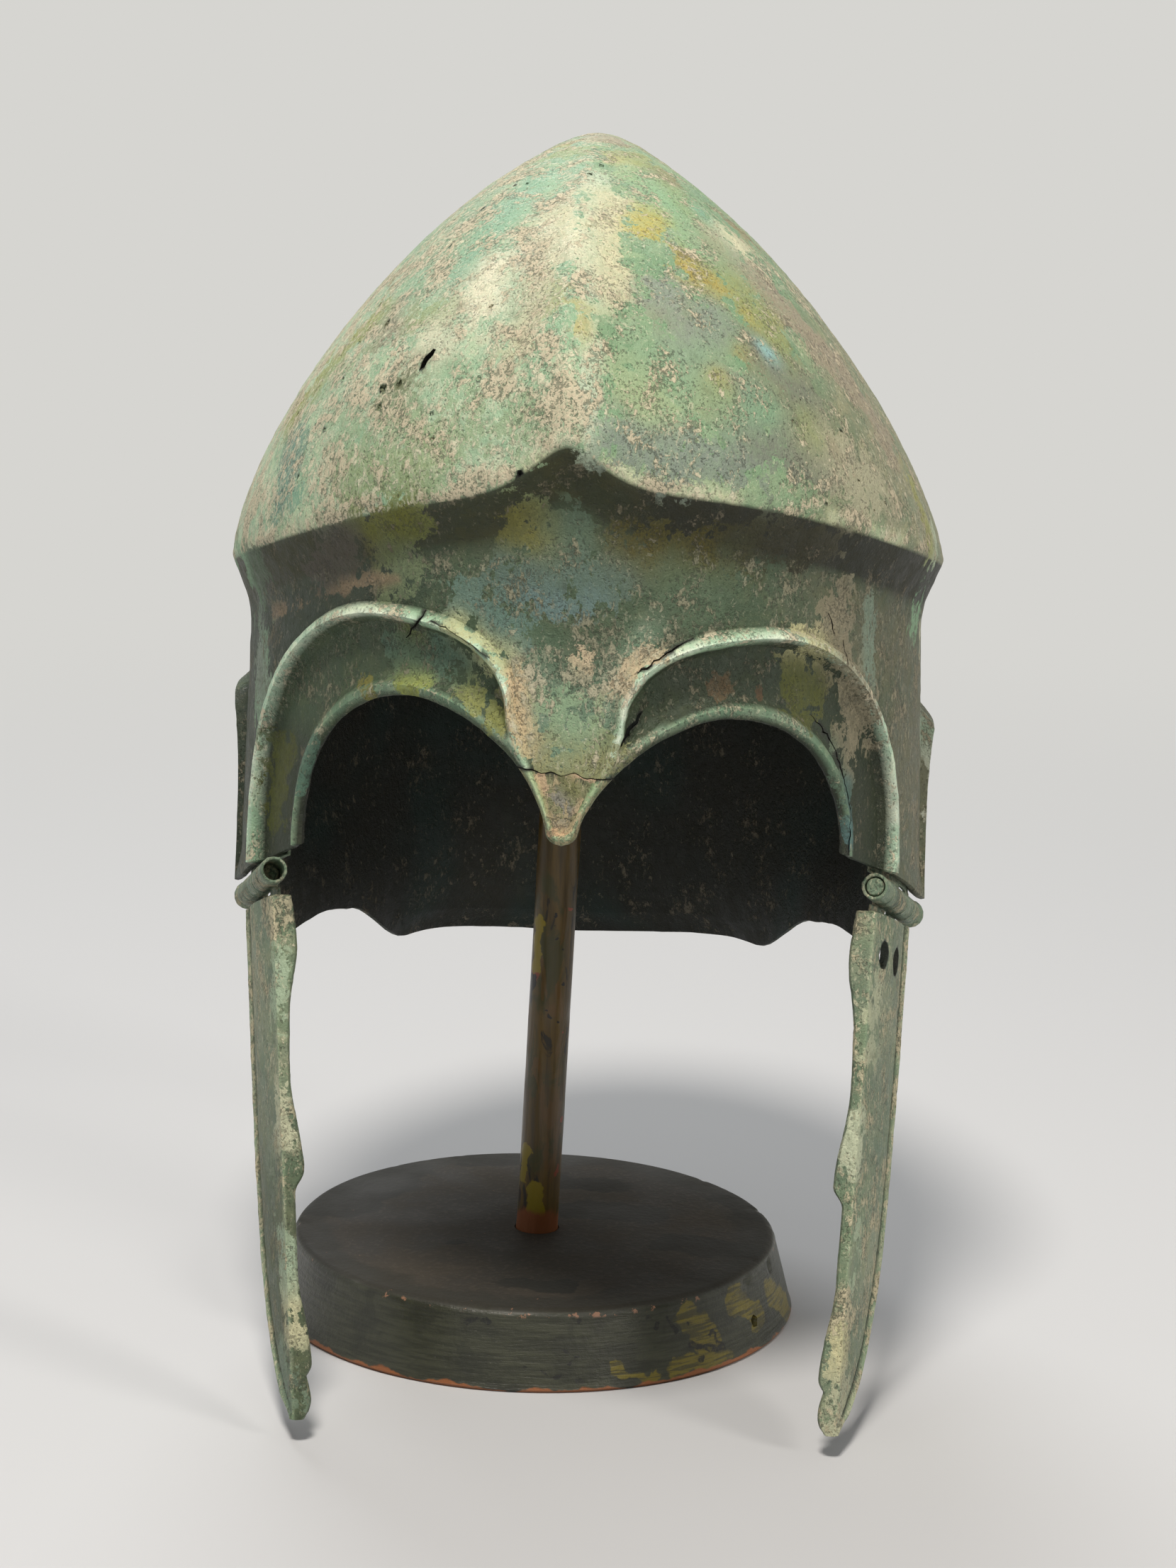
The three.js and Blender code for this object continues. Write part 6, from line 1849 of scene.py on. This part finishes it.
def rivet_tree():
    """Geometry Nodes tree: a rivet on each point, turned to that point's stored direction."""
    tree, start, end = tree_of("Rivets", {
        "Head radius": RIVET_HEAD_RADIUS, "Head height": RIVET_HEAD_HEIGHT, "Shank radius": RIVET_RADIUS,
        "Shank length": 3.0, "Material": None,
    })
    wanted = start.outputs

    def across(x, y, z):
        return add_node(tree, "ShaderNodeCombineXYZ", {0: x, 1: y, 2: z}).outputs[0]

    ball = add_node(tree, "GeometryNodeMeshUVSphere", {
        "Segments": 24, "Rings": 16, "Radius": times(tree, wanted["Head radius"], MM),
    })
    flat = maths(tree, "DIVIDE", wanted["Head height"], wanted["Head radius"])
    squashed = add_node(tree, "GeometryNodeTransform", {
        "Geometry": ball.outputs[0], "Scale": across(1.0, 1.0, flat),
    })
    length = times(tree, wanted["Shank length"], MM)
    shank = add_node(tree, "GeometryNodeMeshCylinder", {
        "Vertices": 20, "Radius": times(tree, wanted["Shank radius"], MM), "Depth": length,
    })
    raised = add_node(tree, "GeometryNodeTransform", {
        "Geometry": shank.outputs[0], "Translation": across(0.0, 0.0, times(tree, length, 0.5)),
    })
    both = add_node(tree, "GeometryNodeJoinGeometry")
    tree.links.new(squashed.outputs[0], both.inputs[0])
    tree.links.new(raised.outputs[0], both.inputs[0])
    points = add_node(tree, "GeometryNodeMeshToPoints", {"Mesh": wanted["Geometry"]})
    aim = stored(tree, "aim", "FLOAT_VECTOR")
    turn = add_node(tree, "FunctionNodeAlignRotationToVector", {"Vector": aim}, axis="Z")
    placed = add_node(tree, "GeometryNodeInstanceOnPoints", {
        "Points": points.outputs[0], "Instance": both.outputs[0], "Rotation": turn.outputs[0],
    })
    return delivered(tree, end, placed.outputs[0], wanted["Material"])


RIVETS = rivet_tree()


def rivet_set(name, body, wanted):
    """One mesh with the rivets of one body, each where its node stands."""
    heads, aims, lengths = [], [], []
    for side, node in wanted:
        aim = hinges[side].out if body == "helmet" else hinges[side].turn @ hinges[side].out
        corners = np.array([v.co[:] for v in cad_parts[node].data.vertices]) / MM
        reach = corners @ np.array(aim)
        rim = corners[np.abs(reach - reach.min() - RIVET_HEAD_HEIGHT) < RIVET_RIM_BAND]
        heads.append(rim.mean(0))
        aims.append(tuple(aim))
        lengths.append(reach.max() - reach.min() - RIVET_HEAD_HEIGHT)
    piece = mesh_piece(name, heads, [])
    layer = piece.data.attributes.new("aim", "FLOAT_VECTOR", "POINT")
    layer.data.foreach_set("vector", np.array(aims).ravel())
    grow(piece, RIVETS, shank_length=float(min(lengths)), material=hinge_finish)
    paint(piece, ((1.0, "788570", 0.4),), ())
    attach(piece, body)
    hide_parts(*[node for _, node in wanted])


rivet_set("rivets_bowl", "helmet", [(s, f"rivet_helmet_{s}_{i}") for s in SIDES for i in (1, 2)])
for name in SIDES:
    rivet_set(f"rivets_plate_{name}", f"cheek_{name}", [(name, f"rivet_cheek_{name}_{i}") for i in (1, 2)])

# Studio
# A plain pale floor, soft lamps and the camera at the photograph's angle.

FLOOR_REACH = 4000
BACKGROUND = tint("d6d5d1")

corners = [(x * FLOOR_REACH, y * FLOOR_REACH, 0) for x, y in ((-1, -1), (1, -1), (1, 1), (-1, 1))]
floor = mesh_piece("floor", corners, [(0, 1, 2, 3)])
pale = bpy.data.materials.new("pale_floor")
pale.use_nodes = True
ground_tree = pale.node_tree
surface = ground_tree.nodes["Principled BSDF"]
surface.inputs["Base Color"].default_value = tint("c6c8ca")
surface.inputs["Roughness"].default_value = 0.9


def seen_rays(tree):
    """Whether a ray comes from the camera, or from a mirror or a glass that shows the background."""
    rays = add_node(tree, "ShaderNodeLightPath").outputs
    total = maths(tree, "MAXIMUM", rays["Is Camera Ray"], rays["Is Glossy Ray"])
    return maths(tree, "MAXIMUM", total, rays["Is Transmission Ray"])


away = vector_maths(ground_tree, "LENGTH", object_place(ground_tree), output="Value")
far = times(ground_tree, ramp(ground_tree, away, 0.25, 1.1), seen_rays(ground_tree))
plain = add_node(ground_tree, "ShaderNodeEmission", {"Color": BACKGROUND, "Strength": 1.0})
blend = add_node(ground_tree, "ShaderNodeMixShader", {0: far, 1: surface.outputs[0], 2: plain.outputs[0]})
ground_tree.links.new(blend.outputs[0], ground_tree.nodes["Material Output"].inputs["Surface"])
floor.data.materials.append(pale)


def lamp(name, place, target, size, power, colour):
    """A soft round lamp that points at a target."""
    light = bpy.data.lights.new(name, "AREA")
    light.shape = "DISK"
    light.size = size
    light.energy = power
    light.color = tint(colour)[:3]
    holder = linked(name, light)
    holder.location = place
    holder.rotation_euler = (Vector(target) - Vector(place)).to_track_quat("-Z", "Y").to_euler()


lamp("key", (-0.15, -0.8, 1.95), (0, 0, 0.2), 0.4, 35, "fff7ee")
lamp("side", (1.3, -0.95, 0.75), (0, 0, 0.15), 0.4, 9, "fff8f0")
lamp("fill", (-1.4, -1.2, 0.6), (0, 0, 0.2), 1.0, 2, "f2f6ff")
lamp("rear", (-0.3, 1.2, 1.6), (0, 0, 0.2), 0.9, 16, "ffffff")
world = bpy.data.worlds.new("studio")
world.use_nodes = True
sky = world.node_tree
around = sky.nodes["Background"]
around.inputs["Color"].default_value = tint("e8eaec")
around.inputs["Strength"].default_value = 0.17
seen = add_node(sky, "ShaderNodeBackground", {"Color": BACKGROUND, "Strength": 1.0})
chosen = add_node(sky, "ShaderNodeMixShader", {0: seen_rays(sky), 1: around.outputs[0], 2: seen.outputs[0]})
sky.links.new(chosen.outputs[0], sky.nodes["World Output"].inputs["Surface"])
bpy.context.scene.world = world
bpy.context.scene.view_settings.view_transform = "Standard"

# The camera: a focal length in the photograph's pixels, and the angles and distance of the view
LENS_PIXELS = 5500
PHOTO_HEIGHT = 2212
SENSOR_WIDTH = 36
VIEW_PITCH, VIEW_YAW, VIEW_ROLL = math.radians(12.7), math.radians(0.4), math.radians(1.5)
VIEW_DISTANCE = 1.085
VIEW_TARGET = Vector((0.012, -0.015, 0.157))
view = Vector((-math.sin(VIEW_YAW) * math.cos(VIEW_PITCH), math.cos(VIEW_YAW) * math.cos(VIEW_PITCH),
               -math.sin(VIEW_PITCH)))
right = Vector((math.cos(VIEW_YAW), math.sin(VIEW_YAW), 0))
above = right.cross(view)
right, above = (right * math.cos(VIEW_ROLL) + above * math.sin(VIEW_ROLL),
                above * math.cos(VIEW_ROLL) - right * math.sin(VIEW_ROLL))
lens = bpy.data.cameras.new("camera")
lens.sensor_width = SENSOR_WIDTH
lens.lens = LENS_PIXELS / PHOTO_HEIGHT * SENSOR_WIDTH
camera = linked("camera", lens)
camera.matrix_world = Matrix.Translation(VIEW_TARGET - view * VIEW_DISTANCE) @ Matrix(
    (right, above, -view)).transposed().to_4x4()
bpy.context.scene.camera = camera
